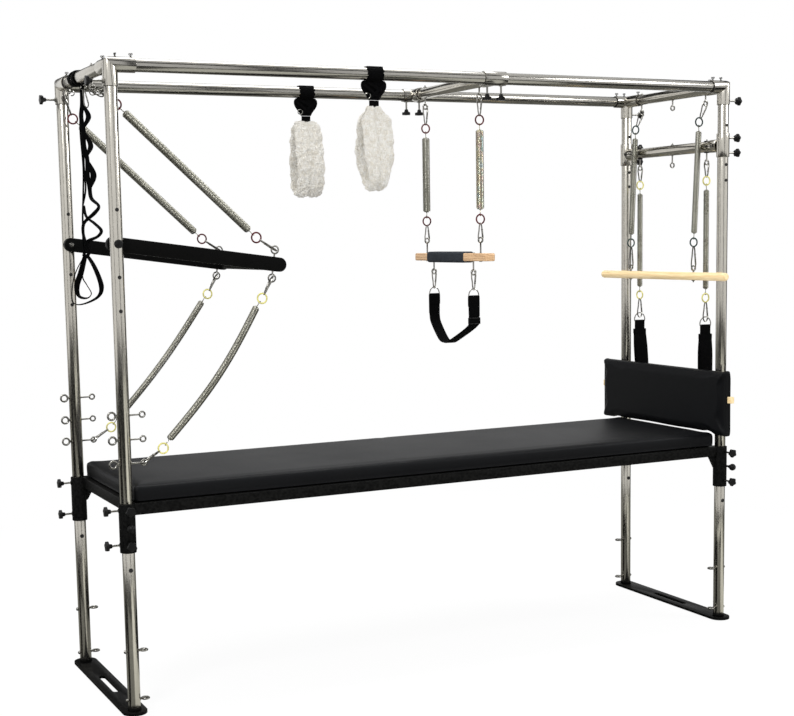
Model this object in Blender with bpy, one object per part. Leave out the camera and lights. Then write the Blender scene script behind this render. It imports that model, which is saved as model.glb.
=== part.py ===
# A trapeze table: a padded bed inside a steel tube frame, with a hinged push-through bar,
# a sliding trapeze, a height-adjustable cross bar, a roll-down bar, loops and straps.
# Metres, +Z up. The origin is on the floor, midway between the four posts.
# Left is -X, right is +X, front is -Y and rear is +Y.

import math

import bmesh
import bpy
from mathutils import Matrix, Vector

# Fits
SLIP = 0.0004
GAP = 0.0003
TURN_SLIP = 0.0005
OVERLAP = 0.001
CUT_PAST = 0.010
BOLT_SIDES = 8

# Tube frame
POST_SPACING_X = 2.42
POST_SPACING_Y = 0.636
TOP_AXIS_HEIGHT = 2.102
TUBE_DIAMETER = 0.042
TUBE_WALL = 0.002
TUBE_SIDES = 10
SHARP_ANGLE = math.radians(40)
POST_HOLE_DIAMETER = 0.008
HOLE_SIDES = 6
LEG_TO_POST_GAP = 0.005
LEFT_POST_HOLE_DROPS = (0.775, 0.667, 0.453)
HEIGHT_HOLE_PITCH = 0.060
LEG_HOLE_HEIGHT = 0.483

# Foot plates
FOOT_LENGTH = 0.726
FOOT_WIDTH = 0.082
FOOT_THICKNESS = 0.010
FOOT_SLOT_LENGTH = 0.205
FOOT_SLOT_WIDTH = 0.022

# Bed frame
BED_HEIGHT = 0.700
SOCKET_LENGTH = 0.160
SOCKET_WALL = 0.0056
LEG_SHARE_OF_SOCKET = 0.085
RAIL_HEIGHT = 0.038
RAIL_WIDTH = 0.040
RAIL_WALL = 0.002
SIDE_RAIL_INSET = 0.008
END_RAIL_INSET = 0.030
CROSS_MEMBERS = 2
GUSSET_LENGTH = 0.033
GUSSET_DROP = 0.052
GUSSET_THICKNESS = 0.005

# Corner fittings and sleeves
CORNER_WALL = 0.0031
CORNER_SIDES = 12
CORNER_DROP = 0.067
CORNER_STUB_LEFT = 0.080
CORNER_STUB_RIGHT = 0.060
CORNER_STUB_ACROSS = 0.095
CORNER_KNOB_DROP = 0.052
CORNER_KNOB_REACH = 0.074
SLEEVE_WALL = 0.0036
SLEEVE_LENGTH = 0.090
SLEEVE_STUB = 0.075
SLIDE_BAR_X = 0.185
BAR_END_GAP = 0.004
HEIGHT_BAR_DROP = 0.222

# Star knobs and ball knobs
STAR_DIAMETER = 0.034
STAR_THICKNESS = 0.011
STAR_HUB_LENGTH = 0.010
STAR_LOBES = 5
STAR_VALLEY = 0.84
STUD_DIAMETER = 0.008
KNOB_REACH = 0.070
KNOB_REACH_SCREWED_IN = 0.047
KNOB_REACH_LONG = 0.077
KNOB_PITCH = 0.057
BALL_DIAMETER = 0.027
BALL_RINGS = (135, 55)
BALL_SIDES = 6
SOCKET_KNOB_DROPS = (0.020, 0.134)
SOCKET_BALL_DROP = 0.075

# Eye bolts
EYE_DIAMETER = 0.024
EYE_WIRE = 0.006
EYE_SINK = 0.0015
SHANK_SIDES = 4
BIG_EYE_DIAMETER = 0.031
BIG_EYE_WIRE = 0.007
NUT_DIAMETER = 0.014
NUT_HEIGHT = 0.006
NUT_SINK = 0.004
LEG_EYE_HEIGHTS = (0.044, 0.208)
BIG_EYE_COLLAR = 0.002
POST_EYE_HEIGHTS = (0.832, 0.910, 0.990)
POST_EYE_INNER_REACH = 0.063
TOP_EYE_DROP = 0.031
CORNER_EYE_DROP = 0.0225
HEIGHT_BAR_EYE_DROP = 0.039
EYE_BESIDE_STUB = 0.013

# Mattress and back pad
MAT_LEFT_INSET = 0.023
MAT_RIGHT_INSET = 0.023
MAT_WIDTH = 0.640
MAT_THICKNESS = 0.0557
MAT_CORNER_RADIUS = 0.022
MAT_CROWN = 0.0045
PAD_LENGTH = 0.830
PAD_TOP = 1.008
PAD_THICKNESS = 0.037
PAD_CORNER_RADIUS = 0.024
PAD_CROWN = 0.003
PAD_INSET_SHARE = 0.7
LEAST_CORNER_RADIUS = 0.006
PAD_FROM_POST = 0.002
BATTEN_LENGTH = 0.860
BATTEN_HEIGHT = 0.025
BATTEN_THICKNESS = 0.018
BATTEN_CENTRE_HEIGHT = 0.895

# Push-through bar
PUSH_PIVOT_DROP = 0.561
PUSH_ARM_REACH = 0.5735
PUSH_SLOPE = math.radians(7.93)
PUSH_ARM_HEIGHT = 0.048
PUSH_ARM_THICKNESS = 0.026
PUSH_ARM_WALL = 0.003
PUSH_ARM_FROM_POST = 0.003
PUSH_ARM_SOLID_END = 0.036
PUSH_ARM_DRAIN = 0.459
PUSH_DRAIN_DIAMETER = 0.006
PUSH_TUBE_DIAMETER = 0.040
PUSH_TUBE_SINK = 0.002
PUSH_BORE_SINK = 0.008
PUSH_EYE_INSET = 0.0195
PUSH_EYE_DROP = 0.024
PIVOT_DIAMETER = 0.012
PIVOT_HEAD_DIAMETER = 0.028
PIVOT_HEAD_LENGTH = 0.012
PIVOT_NUT_DIAMETER = 0.020
PIVOT_NUT_LENGTH = 0.008

# Springs: curls shown on each, of the real wire and outer diameters
SPRING_WIRE = 0.0032
RING_DIAMETER = 0.038
RING_WIRE = 0.005
CARABINER_WIDTH = 0.024
CARABINER_WIRE = 0.005
COIL_FROM_RING = 0.040
POINTS_PER_CURL = 8
POINTS_TO_FULL_WIDTH = 3
RING_SEGMENTS = 6
RING_SIDES = 4
UPPER_PUSH_COIL = 0.0275
UPPER_PUSH_CURLS = 4
UPPER_PUSH_RING_OFFSET = Vector((0.026, 0, -0.073))
UPPER_PUSH_END_OFFSET = Vector((-0.0655, 0, 0.042))
LOWER_PUSH_COIL = 0.025
LOWER_PUSH_CURLS = 4
LOWER_PUSH_RING_OFFSET = Vector((-0.037, 0, -0.067))
LOWER_PUSH_END_OFFSET = Vector((0.067, 0, 0.041))
LOWER_PUSH_BOW = 0.017
TRAPEZE_COIL = 0.030
TRAPEZE_CURLS = 3
ROLL_COIL = 0.024
ROLL_CURLS = 3
STRAP_COIL = 0.023
STRAP_CURLS = 3

# Trapeze
TRAPEZE_SPRING_Y = 0.211
TRAPEZE_RING_DROPS = (0.136, 0.494)
TRAPEZE_BAR_DROP = 0.633
TRAPEZE_BAR_LENGTH = 0.556
TRAPEZE_BAR_SHIFT = -0.002
TRAPEZE_BAR_TALL = 0.029
TRAPEZE_BAR_DEEP = 0.044
TRAPEZE_BAR_ROUNDING = 0.008
TRAPEZE_EYE_RISE = 0.0485
GRIP_START = -0.119
GRIP_END = 0.169
GRIP_THICKNESS = 0.0062
SLING_EYE_Y = 0.156
SLING_EYE_DROP = 0.0415
SLING_RING_WIDTH = 0.047
SLING_RING_DROP = 0.076
SLING_RING_HEIGHT = 0.030
SLING_WEB_WIDTH = 0.046
WEB_THICKNESS = 0.004
SLING_STRAIGHT = 0.110
SLING_DEPTH = 0.180
SLING_SHIFT = 0.045
SLING_TURN_IN = 0.012
SLING_TURN_HEIGHT = 0.030
SLING_BOTTOM_REACH = 0.040
SLING_BOTTOM_RISE = (0.012, 0.008)
SLING_RING_STEPS = 6
SLING_LINK_SINK = 0.004

# Roll-down bar
ROLL_RING_DROP = 0.073
ROLL_RING_LEAN = 0.031
ROLL_SPRING_LENGTH = 0.470
ROLL_SPRING_LEAN = 0.022
ROLL_BAR_DROP = 0.134
ROLL_BAR_DIAMETER = 0.032
ROLL_BAR_LENGTH = 0.830
ROLL_EYE_RISE = 0.016

# Straps on the height-adjustable bar
STRAP_EYE_Y = 0.220
STRAP_RING_DROP = 0.072
STRAP_SPRING_LENGTH = 0.462
STRAP_LINK = 0.088
STRAP_WEB_WIDTH = 0.038
STRAP_LOOP_WIDTH = 0.044
STRAP_TAIL = 0.070
STRAP_LOOP_HEIGHT = 0.200
STRAP_LOOP_OPENING = 0.020
STRAP_LOOP_STEPS = 12
STRAP_SINK = 0.002
TEARDROP_NECK_SHARE = 0.35

# Fleece loops
HANGER_X = (-0.291, -0.275)
HANGER_BAND_WIDTH = 0.062
HANGER_SPREAD_WIDTH = 0.094
HANGER_TAIL_WIDTH = 0.036
HANGER_THICKNESS = 0.006
HANGER_DROP = 0.088
HANGER_SHOULDER = 0.014
HANGER_TAIL_LENGTH = 0.016
FLEECE_WIDTH = 0.108
FLEECE_THICKNESS = 0.030
FLEECE_HEIGHT = 0.310
FLEECE_OPENING = 0.050
FLEECE_NECK = 0.012
FLEECE_NECK_SINK = 0.006
FLEECE_NECK_RISE = 0.002
FLEECE_STEPS = 16

# Hanging straps
HANGING_Y = 0.100
HANGING_TURN = math.radians(-25.8)
HANGING_WEB_WIDTH = 0.020
HANGING_WEB_THICKNESS = 0.004
HANGING_WRAP_WIDTH = 0.070
HANGING_WRAP_THICKNESS = 0.004
HANGING_TRUNK_THICKNESS = 0.012
HANGING_LOOPS_ACROSS = 0.034
SMALL_LOOP_STEPS = 6
SMALL_LOOP_REACH_SHARE = 0.75
UNDER_WRAP_ACROSS = 0.010
SMALL_LOOPS_OUT = 0.0013
TAIL_OUT = -0.0017
SIDE_CORD_OUT = 0.006
END_LOOP_OUT = -0.004
SECOND_LOOP_OUT = 0.009
HANGING_TRUNK = ((0.012, -0.125), (0.018, -0.220), (0.023, -0.320), (0.023, -0.380))
HANGING_LOOPS = ((-0.134, 0.058, 0.024), (-0.230, 0.058, 0.024), (-0.330, 0.080, 0.026))
HANGING_TAIL = (
    (0.023, -0.372), (0.053, -0.402), (0.056, -0.436), (0.030, -0.461), (0.008, -0.480),
    (0.012, -0.500), (0.034, -0.525), (0.026, -0.553), (0.006, -0.580), (0.004, -0.612),
)
HANGING_SIDE_CORD = ((0.012, -0.110), (0.000, -0.150), (0.004, -0.300), (0.003, -0.420), (0.004, -0.612))
HANGING_END_LOOP = (
    (0.004, -0.606), (0.036, -0.649), (0.055, -0.691), (0.048, -0.722), (0.025, -0.745),
    (-0.004, -0.755), (-0.026, -0.735), (-0.031, -0.703), (-0.016, -0.655),
)
HANGING_SECOND_LOOP = (
    (-0.003, -0.604), (-0.026, -0.648), (-0.048, -0.703), (-0.049, -0.744), (-0.035, -0.764),
    (-0.003, -0.766), (0.020, -0.742), (0.022, -0.714), (0.012, -0.680), (0.007, -0.604),
)

# Worked out from the values above
POST_X = POST_SPACING_X / 2
POST_Y = POST_SPACING_Y / 2
TUBE_RADIUS = TUBE_DIAMETER / 2
TUBE_FLAT = math.cos(math.pi / TUBE_SIDES)
BORE_RADIUS = TUBE_RADIUS + SLIP
SLEEVE_RADIUS = BORE_RADIUS + SLEEVE_WALL
CORNER_RADIUS = BORE_RADIUS + CORNER_WALL
SOCKET_RADIUS = BORE_RADIUS + SOCKET_WALL
SOCKET_BOTTOM = BED_HEIGHT - SOCKET_LENGTH
RAIL_BOTTOM = BED_HEIGHT - RAIL_HEIGHT
BIG_EYE_DROP = BIG_EYE_DIAMETER / 2 + BIG_EYE_COLLAR
TUBE_BACK = CORNER_RADIUS - CORNER_WALL + 0.002
PUSH_ARM_Y = POST_Y - TUBE_RADIUS - PUSH_ARM_FROM_POST - PUSH_ARM_THICKNESS / 2
ROLL_EYE_Y = POST_Y - CORNER_STUB_ACROSS - EYE_BESIDE_STUB
LEFT_POST_HOLES = tuple(TOP_AXIS_HEIGHT - drop for drop in LEFT_POST_HOLE_DROPS)
HEIGHT_BAR_Z = TOP_AXIS_HEIGHT - HEIGHT_BAR_DROP
PUSH_PIVOT_HEIGHT = TOP_AXIS_HEIGHT - PUSH_PIVOT_DROP
TRAPEZE_BAR_HEIGHT = TOP_AXIS_HEIGHT - TRAPEZE_BAR_DROP
TRAPEZE_RING_HEIGHTS = tuple(TOP_AXIS_HEIGHT - drop for drop in TRAPEZE_RING_DROPS)
TRAPEZE_EYE_HEIGHT = TOP_AXIS_HEIGHT - TUBE_RADIUS - TOP_EYE_DROP
HEIGHT_EYE_HEIGHT = HEIGHT_BAR_Z - TUBE_RADIUS - HEIGHT_BAR_EYE_DROP
MAT_BOTTOM = BED_HEIGHT + GAP
MAT_TOP = MAT_BOTTOM + MAT_THICKNESS
X = Vector((1, 0, 0))
Y = Vector((0, 1, 0))
Z = Vector((0, 0, 1))
SIDES_OF_BED = (("front", -1), ("rear", 1))
ENDS_OF_BED = (("left", -1), ("right", 1))


def clear_scene():
    for obj in list(bpy.data.objects):
        bpy.data.objects.remove(obj)


def material(name, colour, roughness, metallic):
    made = bpy.data.materials.new(name)
    made.use_nodes = True
    made.diffuse_color = (*colour, 1)
    shader = made.node_tree.nodes["Principled BSDF"]
    shader.inputs["Base Color"].default_value = (*colour, 1)
    shader.inputs["Roughness"].default_value = roughness
    shader.inputs["Metallic"].default_value = metallic
    return made


def skin(rows, loop=False):
    """A closed mesh through rows of points. A row of one point is a tip, and loop joins the last row to the first."""
    bm = bmesh.new()
    rings = [[bm.verts.new(point) for point in row] for row in rows]
    pairs = list(zip(rings, rings[1:]))
    if loop:
        pairs.append((rings[-1], rings[0]))
    for first, second in pairs:
        count = max(len(first), len(second))
        for k in range(count):
            corners = []
            for ring, index in ((first, k), (first, k + 1), (second, k + 1), (second, k)):
                vert = ring[index % len(ring)]
                if vert not in corners:
                    corners.append(vert)
            bm.faces.new(corners)
    if not loop:
        for ring in (rings[0], rings[-1]):
            if len(ring) > 2:
                bm.faces.new(ring)
    bmesh.ops.recalc_face_normals(bm, faces=bm.faces)
    if bm.calc_volume(signed=True) < 0:
        bmesh.ops.reverse_faces(bm, faces=bm.faces)
    return bm


def turned(profile, origin, direction, sides, loop=False, lobes=(), first_corner=None):
    """A solid of revolution from points of (distance along the axis, radius).

    lobes draws in every other corner of the listed rows.
    """
    axis = Vector(direction).normalized()
    across = first_corner or (X if abs(axis.z) > 0.9 else axis.cross(Z))
    across = (across - axis * axis.dot(across)).normalized()
    other = axis.cross(across)
    rows = []
    for index, (along, radius) in enumerate(profile):
        centre = Vector(origin) + axis * along
        if radius == 0:
            rows.append([centre])
            continue
        row = []
        for k in range(sides):
            angle = 2 * math.pi * k / sides
            reach = radius * (STAR_VALLEY if index in lobes and k % 2 else 1)
            row.append(centre + (across * math.cos(angle) + other * math.sin(angle)) * reach)
        rows.append(row)
    return skin(rows, loop)


def rod(start, end, radius, sides):
    length = (Vector(end) - Vector(start)).length
    return turned(((0, radius), (length, radius)), start, Vector(end) - Vector(start), sides)


def pipe(start, end, outer, inner, sides=TUBE_SIDES):
    length = (Vector(end) - Vector(start)).length
    profile = ((0, inner), (0, outer), (length, outer), (length, inner))
    return turned(profile, start, Vector(end) - Vector(start), sides, loop=True)


def ring(centre, normal, diameter, thickness, first_corner):
    centreline = (diameter - thickness) / 2
    profile = []
    for k in range(RING_SIDES):
        angle = 2 * math.pi * (k + 0.5) / RING_SIDES
        profile.append((thickness / 2 * math.sin(angle), centreline + thickness / 2 * math.cos(angle)))
    return turned(profile, centre, normal, RING_SEGMENTS, loop=True, first_corner=first_corner)


def box(low, high):
    (x0, y0, z0), (x1, y1, z1) = low, high
    base = [(x0, y0, z0), (x1, y0, z0), (x1, y1, z0), (x0, y1, z0)]
    top = [(x, y, z1) for x, y, _ in base]
    return skin([base, top])


def plate(outline, place, along, up, normal, thickness):
    """An outline of (along, up) points made solid, centred on the plane through place."""
    half = Vector(normal) * thickness / 2
    flat = [Vector(place) + Vector(along) * a + Vector(up) * b for a, b in outline]
    return skin([[point - half for point in flat], [point + half for point in flat]])


def rounded_outline(length, width, radius, steps=4):
    """A rectangle with round corners, centred on (0, 0)."""
    points = []
    for quarter, (sa, sb) in enumerate(((1, 1), (-1, 1), (-1, -1), (1, -1))):
        for step in range(steps + 1):
            angle = math.pi / 2 * (quarter + step / steps)
            a = sa * (length / 2 - radius) + radius * math.cos(angle)
            b = sb * (width / 2 - radius) + radius * math.sin(angle)
            points.append((a, b))
    return points


def web(points, across, width, thickness, loop=False):
    """Flat webbing along a path, its width square to the plane of the path."""
    across = Vector(across).normalized()
    points = [Vector(point) for point in points]
    rows = []
    for k, point in enumerate(points):
        before = points[k - 1] if loop or k else point
        after = points[(k + 1) % len(points)] if loop or k + 1 < len(points) else point
        outward = (after - before).normalized().cross(across) * thickness / 2
        side = across * width / 2
        rows.append([point + outward + side, point + outward - side, point - outward - side, point - outward + side])
    return skin(rows, loop)


def wire(points, diameter, closed=False, resolution=1):
    """A round wire through points, read from a bevelled curve."""
    curve = bpy.data.curves.new("wire", "CURVE")
    curve.dimensions = "3D"
    curve.bevel_depth = diameter / 2
    curve.bevel_resolution = resolution
    curve.use_fill_caps = True
    spline = curve.splines.new("POLY")
    spline.points.add(len(points) - 1)
    for target, point in zip(spline.points, points):
        target.co = (*point, 1)
    spline.use_cyclic_u = closed
    holder = bpy.data.objects.new("wire", curve)
    bpy.context.scene.collection.objects.link(holder)
    graph = bpy.context.evaluated_depsgraph_get()
    mesh = bpy.data.meshes.new_from_object(holder.evaluated_get(graph))
    bm = bmesh.new()
    bm.from_mesh(mesh)
    bmesh.ops.remove_doubles(bm, verts=bm.verts, dist=0.00001)
    bmesh.ops.recalc_face_normals(bm, faces=bm.faces)
    bpy.data.objects.remove(holder)
    bpy.data.meshes.remove(mesh)
    return bm


def carabiner(start, end):
    """A plain link between two wire centres, standing in the plane of its line and the Y axis."""
    start, end = Vector(start), Vector(end)
    along = (end - start).normalized()
    side = (Y - along * along.dot(Y)).normalized()
    half = side * (CARABINER_WIDTH - CARABINER_WIRE) / 2
    return wire((start + half, end + half, end - half, start - half), CARABINER_WIRE, closed=True, resolution=0)


def mesh_of(bm, name):
    mesh = bpy.data.meshes.new(name)
    bm.to_mesh(mesh)
    bm.free()
    return mesh


def joined(name, pieces, cuts):
    """One mesh: the union of the pieces, less the cuts."""
    base = bpy.data.objects.new(name, mesh_of(pieces[0], name))
    bpy.context.scene.collection.objects.link(base)
    helpers = []
    for operation, shapes in (("UNION", pieces[1:]), ("DIFFERENCE", cuts)):
        for shape in shapes:
            helper = bpy.data.objects.new("helper", mesh_of(shape, "helper"))
            bpy.context.scene.collection.objects.link(helper)
            helpers.append(helper)
            boolean = base.modifiers.new(operation, "BOOLEAN")
            boolean.operation = operation
            boolean.object = helper
    graph = bpy.context.evaluated_depsgraph_get()
    mesh = bpy.data.meshes.new_from_object(base.evaluated_get(graph))
    for obj in (base, *helpers):
        old = obj.data
        bpy.data.objects.remove(obj)
        bpy.data.meshes.remove(old)
    return mesh


def node(name, pieces, look, parent=None, cuts=()):
    """The named object of one solid, its origin on its parent's axis."""
    origin = parent["place"] if parent else (0, 0, 0)
    mesh = joined(name, pieces, list(cuts))
    mesh.name = name
    mesh.transform(Matrix.Translation(-Vector(origin)))
    mesh.materials.clear()
    mesh.materials.append(look)
    mesh.shade_smooth()
    mesh.set_sharp_from_angle(angle=SHARP_ANGLE)
    obj = bpy.data.objects.new(name, mesh)
    bpy.context.scene.collection.objects.link(obj)
    obj.parent = parent
    return obj


def axis_empty(name, place, parent=None):
    """An empty on a joint's axis, which carries the pieces that move with it."""
    empty = bpy.data.objects.new(name, None)
    empty["place"] = tuple(place)
    empty.parent = parent
    empty.location = Vector(place) - Vector(parent["place"] if parent else (0, 0, 0))
    empty.empty_display_size = 0.05
    bpy.context.scene.collection.objects.link(empty)
    return empty


def star_knob(surface, direction, reach, inside):
    """A star knob on its stud, which goes inside the surface. Reach is from there to the middle of the head."""
    hub_start = reach - STAR_THICKNESS / 2 - STAR_HUB_LENGTH
    head_start = reach - STAR_THICKNESS / 2
    head_end = reach + STAR_THICKNESS / 2
    profile = (
        (-inside, STUD_DIAMETER / 2),
        (hub_start, STUD_DIAMETER / 2),
        (head_start, STAR_DIAMETER / 2),
        (head_end, STAR_DIAMETER / 2),
    )
    return turned(profile, surface, direction, 2 * STAR_LOBES, lobes=(2, 3))


def ball_knob(surface, direction, reach, inside):
    radius = BALL_DIAMETER / 2
    profile = [(-inside, STUD_DIAMETER / 2), (reach - radius, STUD_DIAMETER / 2)]
    for angle in BALL_RINGS:
        turn = math.radians(angle)
        profile.append((reach + radius * math.cos(turn), radius * math.sin(turn)))
    profile.append((reach + radius, 0))
    return turned(profile, surface, direction, BALL_SIDES)


def eye(surface, direction, drop, diameter=EYE_DIAMETER, thickness=EYE_WIRE, normal=Y, inside=EYE_SINK):
    """An eye bolt: the shank and the ring, whose centre is a drop away from the surface."""
    surface = Vector(surface)
    direction = Vector(direction)
    shank_end = surface + direction * (drop - (diameter - thickness) / 2)
    shank = rod(surface - direction * inside, shank_end, thickness / 2, SHANK_SIDES)
    return [shank, ring(surface + direction * drop, normal, diameter, thickness, direction)]


def nut(surface, direction, inside):
    surface = Vector(surface)
    direction = Vector(direction)
    return rod(surface - direction * inside, surface + direction * NUT_HEIGHT, NUT_DIAMETER / 2, HOLE_SIDES)


def foot_plate(end, sx, look):
    radius = FOOT_WIDTH / 2
    place = (sx * POST_X, 0, FOOT_THICKNESS / 2)
    outline = rounded_outline(FOOT_LENGTH, FOOT_WIDTH, radius, steps=5)
    slot = rounded_outline(FOOT_SLOT_LENGTH, FOOT_SLOT_WIDTH, FOOT_SLOT_WIDTH / 2, steps=2)
    body = plate(outline, place, Y, X, Z, FOOT_THICKNESS)
    cut = plate(slot, place, Y, X, Z, FOOT_THICKNESS * 2)
    node("foot_plate_" + end, [body], look, cuts=[cut])


def post_holes(x, y, heights):
    reach = TUBE_DIAMETER
    return [rod((x, y - reach, z), (x, y, z), POST_HOLE_DIAMETER / 2, HOLE_SIDES) for z in heights]


def leg(end, side, sx, sy, look):
    x, y = sx * POST_X, sy * POST_Y
    top = SOCKET_BOTTOM + LEG_SHARE_OF_SOCKET
    bottom = FOOT_THICKNESS + GAP
    pieces = [pipe((x, y, bottom), (x, y, top), TUBE_RADIUS, TUBE_RADIUS - TUBE_WALL)]
    for height in LEG_EYE_HEIGHTS:
        surface = (x - sx * TUBE_RADIUS, y, height)
        pieces += eye(surface, (-sx, 0, 0), BIG_EYE_DROP, BIG_EYE_DIAMETER, BIG_EYE_WIRE, Z)
    node(f"leg_{end}_{side}", pieces, look, cuts=post_holes(x, y, (LEG_HOLE_HEIGHT,)))


def gusset(x, y, along):
    """A triangular web under a rail, against its socket."""
    along = Vector(along)
    start = SOCKET_RADIUS - SOCKET_WALL / 2
    outline = ((start, OVERLAP), (start, -GUSSET_DROP), (SOCKET_RADIUS + GUSSET_LENGTH, OVERLAP))
    return plate(outline, (x, y, RAIL_BOTTOM), along, Z, along.cross(Z), GUSSET_THICKNESS)


def socket_knobs(x, y, sx, sy):
    """The knobs screwed into one socket."""
    shapes = []
    reach = KNOB_REACH_SCREWED_IN if sx < 0 else KNOB_REACH_LONG
    directions = [((0, sy, 0), reach)]
    if sx < 0:
        directions.append(((-1, 0, 0), KNOB_REACH))
    inside = SOCKET_WALL / 2
    for direction, from_axis in directions:
        outward = Vector(direction)
        for drop in SOCKET_KNOB_DROPS:
            surface = Vector((x, y, BED_HEIGHT - drop)) + outward * SOCKET_RADIUS
            shapes.append(star_knob(surface, outward, from_axis - SOCKET_RADIUS, inside))
    outward = Vector((0, sy, 0))
    surface = Vector((x, y, BED_HEIGHT - SOCKET_BALL_DROP)) + outward * SOCKET_RADIUS
    shapes.append(ball_knob(surface, outward, reach - SOCKET_RADIUS, inside))
    return shapes


def bed_frame(look):
    rail_y = POST_Y - SIDE_RAIL_INSET
    end_x = POST_X - END_RAIL_INSET
    half = RAIL_WIDTH / 2
    inner = half - RAIL_WALL
    low, high = RAIL_BOTTOM + RAIL_WALL, BED_HEIGHT - RAIL_WALL
    pieces, cuts = [], []
    for sy in (-1, 1):
        y = sy * rail_y
        pieces.append(box((-POST_X, y - half, RAIL_BOTTOM), (POST_X, y + half, BED_HEIGHT)))
        cuts.append(box((-POST_X, y - inner, low), (POST_X, y + inner, high)))
    spacing = 2 * end_x / (CROSS_MEMBERS + 1)
    for k in range(CROSS_MEMBERS + 2):
        x = -end_x + k * spacing
        reach = rail_y - half + RAIL_WALL
        pieces.append(box((x - half, -reach, RAIL_BOTTOM), (x + half, reach, BED_HEIGHT)))
        cuts.append(box((x - inner, -reach, low), (x + inner, reach, high)))
    for end, sx in ENDS_OF_BED:
        for side, sy in SIDES_OF_BED:
            x, y = sx * POST_X, sy * POST_Y
            pieces.append(rod((x, y, SOCKET_BOTTOM), (x, y, BED_HEIGHT), SOCKET_RADIUS, TUBE_SIDES))
            cuts.append(rod((x, y, SOCKET_BOTTOM - CUT_PAST), (x, y, BED_HEIGHT + CUT_PAST), BORE_RADIUS, TUBE_SIDES))
            pieces.append(gusset(x, y, (-sx, 0, 0) if sx != sy else (0, -sy, 0)))
            pieces += socket_knobs(x, y, sx, sy)
    node("bed_frame", pieces, look, cuts=cuts)


def cushion(rings, place, along, up, normal, length, width, corner):
    """A padded piece from rings of (inset, height), each a rectangle with round corners."""
    rows = []
    for inset, height in rings:
        radius = max(corner - inset, LEAST_CORNER_RADIUS)
        outline = rounded_outline(length - 2 * inset, width - 2 * inset, radius, steps=2)
        centre = Vector(place) + Vector(normal) * height
        rows.append([centre + Vector(along) * a + Vector(up) * b for a, b in outline])
    return skin(rows)


def padded_profile(thickness, crown):
    """Rings of a cushion from its flat back: sides drawn in at the middle, a rounded rim and a crown."""
    rim = thickness - crown
    return (
        (0.006, 0), (0.0015, 0.12 * rim), (0.0025, 0.5 * rim), (0.000, 0.80 * rim),
        (0.003, 0.93 * rim), (0.010, rim), (0.050, rim + 0.55 * crown), (0.120, thickness),
    )


def mattress(look):
    left = -POST_X + MAT_LEFT_INSET
    right = POST_X - MAT_RIGHT_INSET
    place = ((left + right) / 2, 0, MAT_BOTTOM)
    rings = padded_profile(MAT_THICKNESS, MAT_CROWN)
    node("mattress", [cushion(rings, place, X, Y, Z, right - left, MAT_WIDTH, MAT_CORNER_RADIUS)], look)


def back_pad(pad_look, wood):
    back = POST_X - TUBE_RADIUS - PAD_FROM_POST
    bottom = MAT_TOP + GAP
    height = PAD_TOP - bottom
    rings = [(inset * PAD_INSET_SHARE, depth) for inset, depth in padded_profile(PAD_THICKNESS, PAD_CROWN)]
    centre = (back, 0, (PAD_TOP + bottom) / 2)
    body = cushion(rings, centre, Y, Z, -X, PAD_LENGTH, height, PAD_CORNER_RADIUS)
    half = BATTEN_HEIGHT / 2
    reach = BATTEN_LENGTH / 2
    inner = back - BATTEN_THICKNESS
    groove = box(
        (inner - GAP, -reach, BATTEN_CENTRE_HEIGHT - half - GAP),
        (back + CUT_PAST, reach, BATTEN_CENTRE_HEIGHT + half + GAP),
    )
    node("back_pad", [body], pad_look, cuts=[groove])
    batten = box((inner, -reach, BATTEN_CENTRE_HEIGHT - half), (back, reach, BATTEN_CENTRE_HEIGHT + half))
    node("pad_batten", [batten], wood)


def post(end, side, sx, sy, look):
    x, y = sx * POST_X, sy * POST_Y
    bottom = SOCKET_BOTTOM + LEG_SHARE_OF_SOCKET + LEG_TO_POST_GAP
    top = TOP_AXIS_HEIGHT - TUBE_BACK
    pieces = [pipe((x, y, bottom), (x, y, top), TUBE_RADIUS, TUBE_RADIUS - TUBE_WALL)]
    cuts = []
    if sx < 0:
        for height in POST_EYE_HEIGHTS:
            outer = Vector((x - TUBE_RADIUS, y, height))
            inner = Vector((x + TUBE_RADIUS, y, height))
            pieces += eye(outer, -X, BIG_EYE_DROP, BIG_EYE_DIAMETER, BIG_EYE_WIRE)
            pieces += eye(inner, X, POST_EYE_INNER_REACH - TUBE_RADIUS)
        cuts += post_holes(x, y, LEFT_POST_HOLES)
        pivot = Vector((x, y, PUSH_PIVOT_HEIGHT))
        cuts.append(rod(pivot - Y * TUBE_DIAMETER, pivot + Y * TUBE_DIAMETER, PIVOT_DIAMETER / 2 + SLIP, BOLT_SIDES))
    else:
        clear = SLEEVE_LENGTH / 2 + HEIGHT_HOLE_PITCH / 2
        heights = [HEIGHT_BAR_Z + clear, HEIGHT_BAR_Z - clear, HEIGHT_BAR_Z - clear - HEIGHT_HOLE_PITCH]
        cuts += post_holes(x, y, heights)
    node(f"post_{end}_{side}", pieces, look, cuts=cuts)


def clip(bm, plane_point, normal):
    """Cuts away what lies beyond a plane, and closes the cut."""
    geometry = bm.verts[:] + bm.edges[:] + bm.faces[:]
    cut = bmesh.ops.bisect_plane(bm, geom=geometry, plane_co=plane_point, plane_no=normal, clear_outer=True)
    edges = [item for item in cut["geom_cut"] if isinstance(item, bmesh.types.BMEdge)]
    bmesh.ops.edgeloop_fill(bm, edges=edges)
    bmesh.ops.recalc_face_normals(bm, faces=bm.faces)
    return bm


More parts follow.
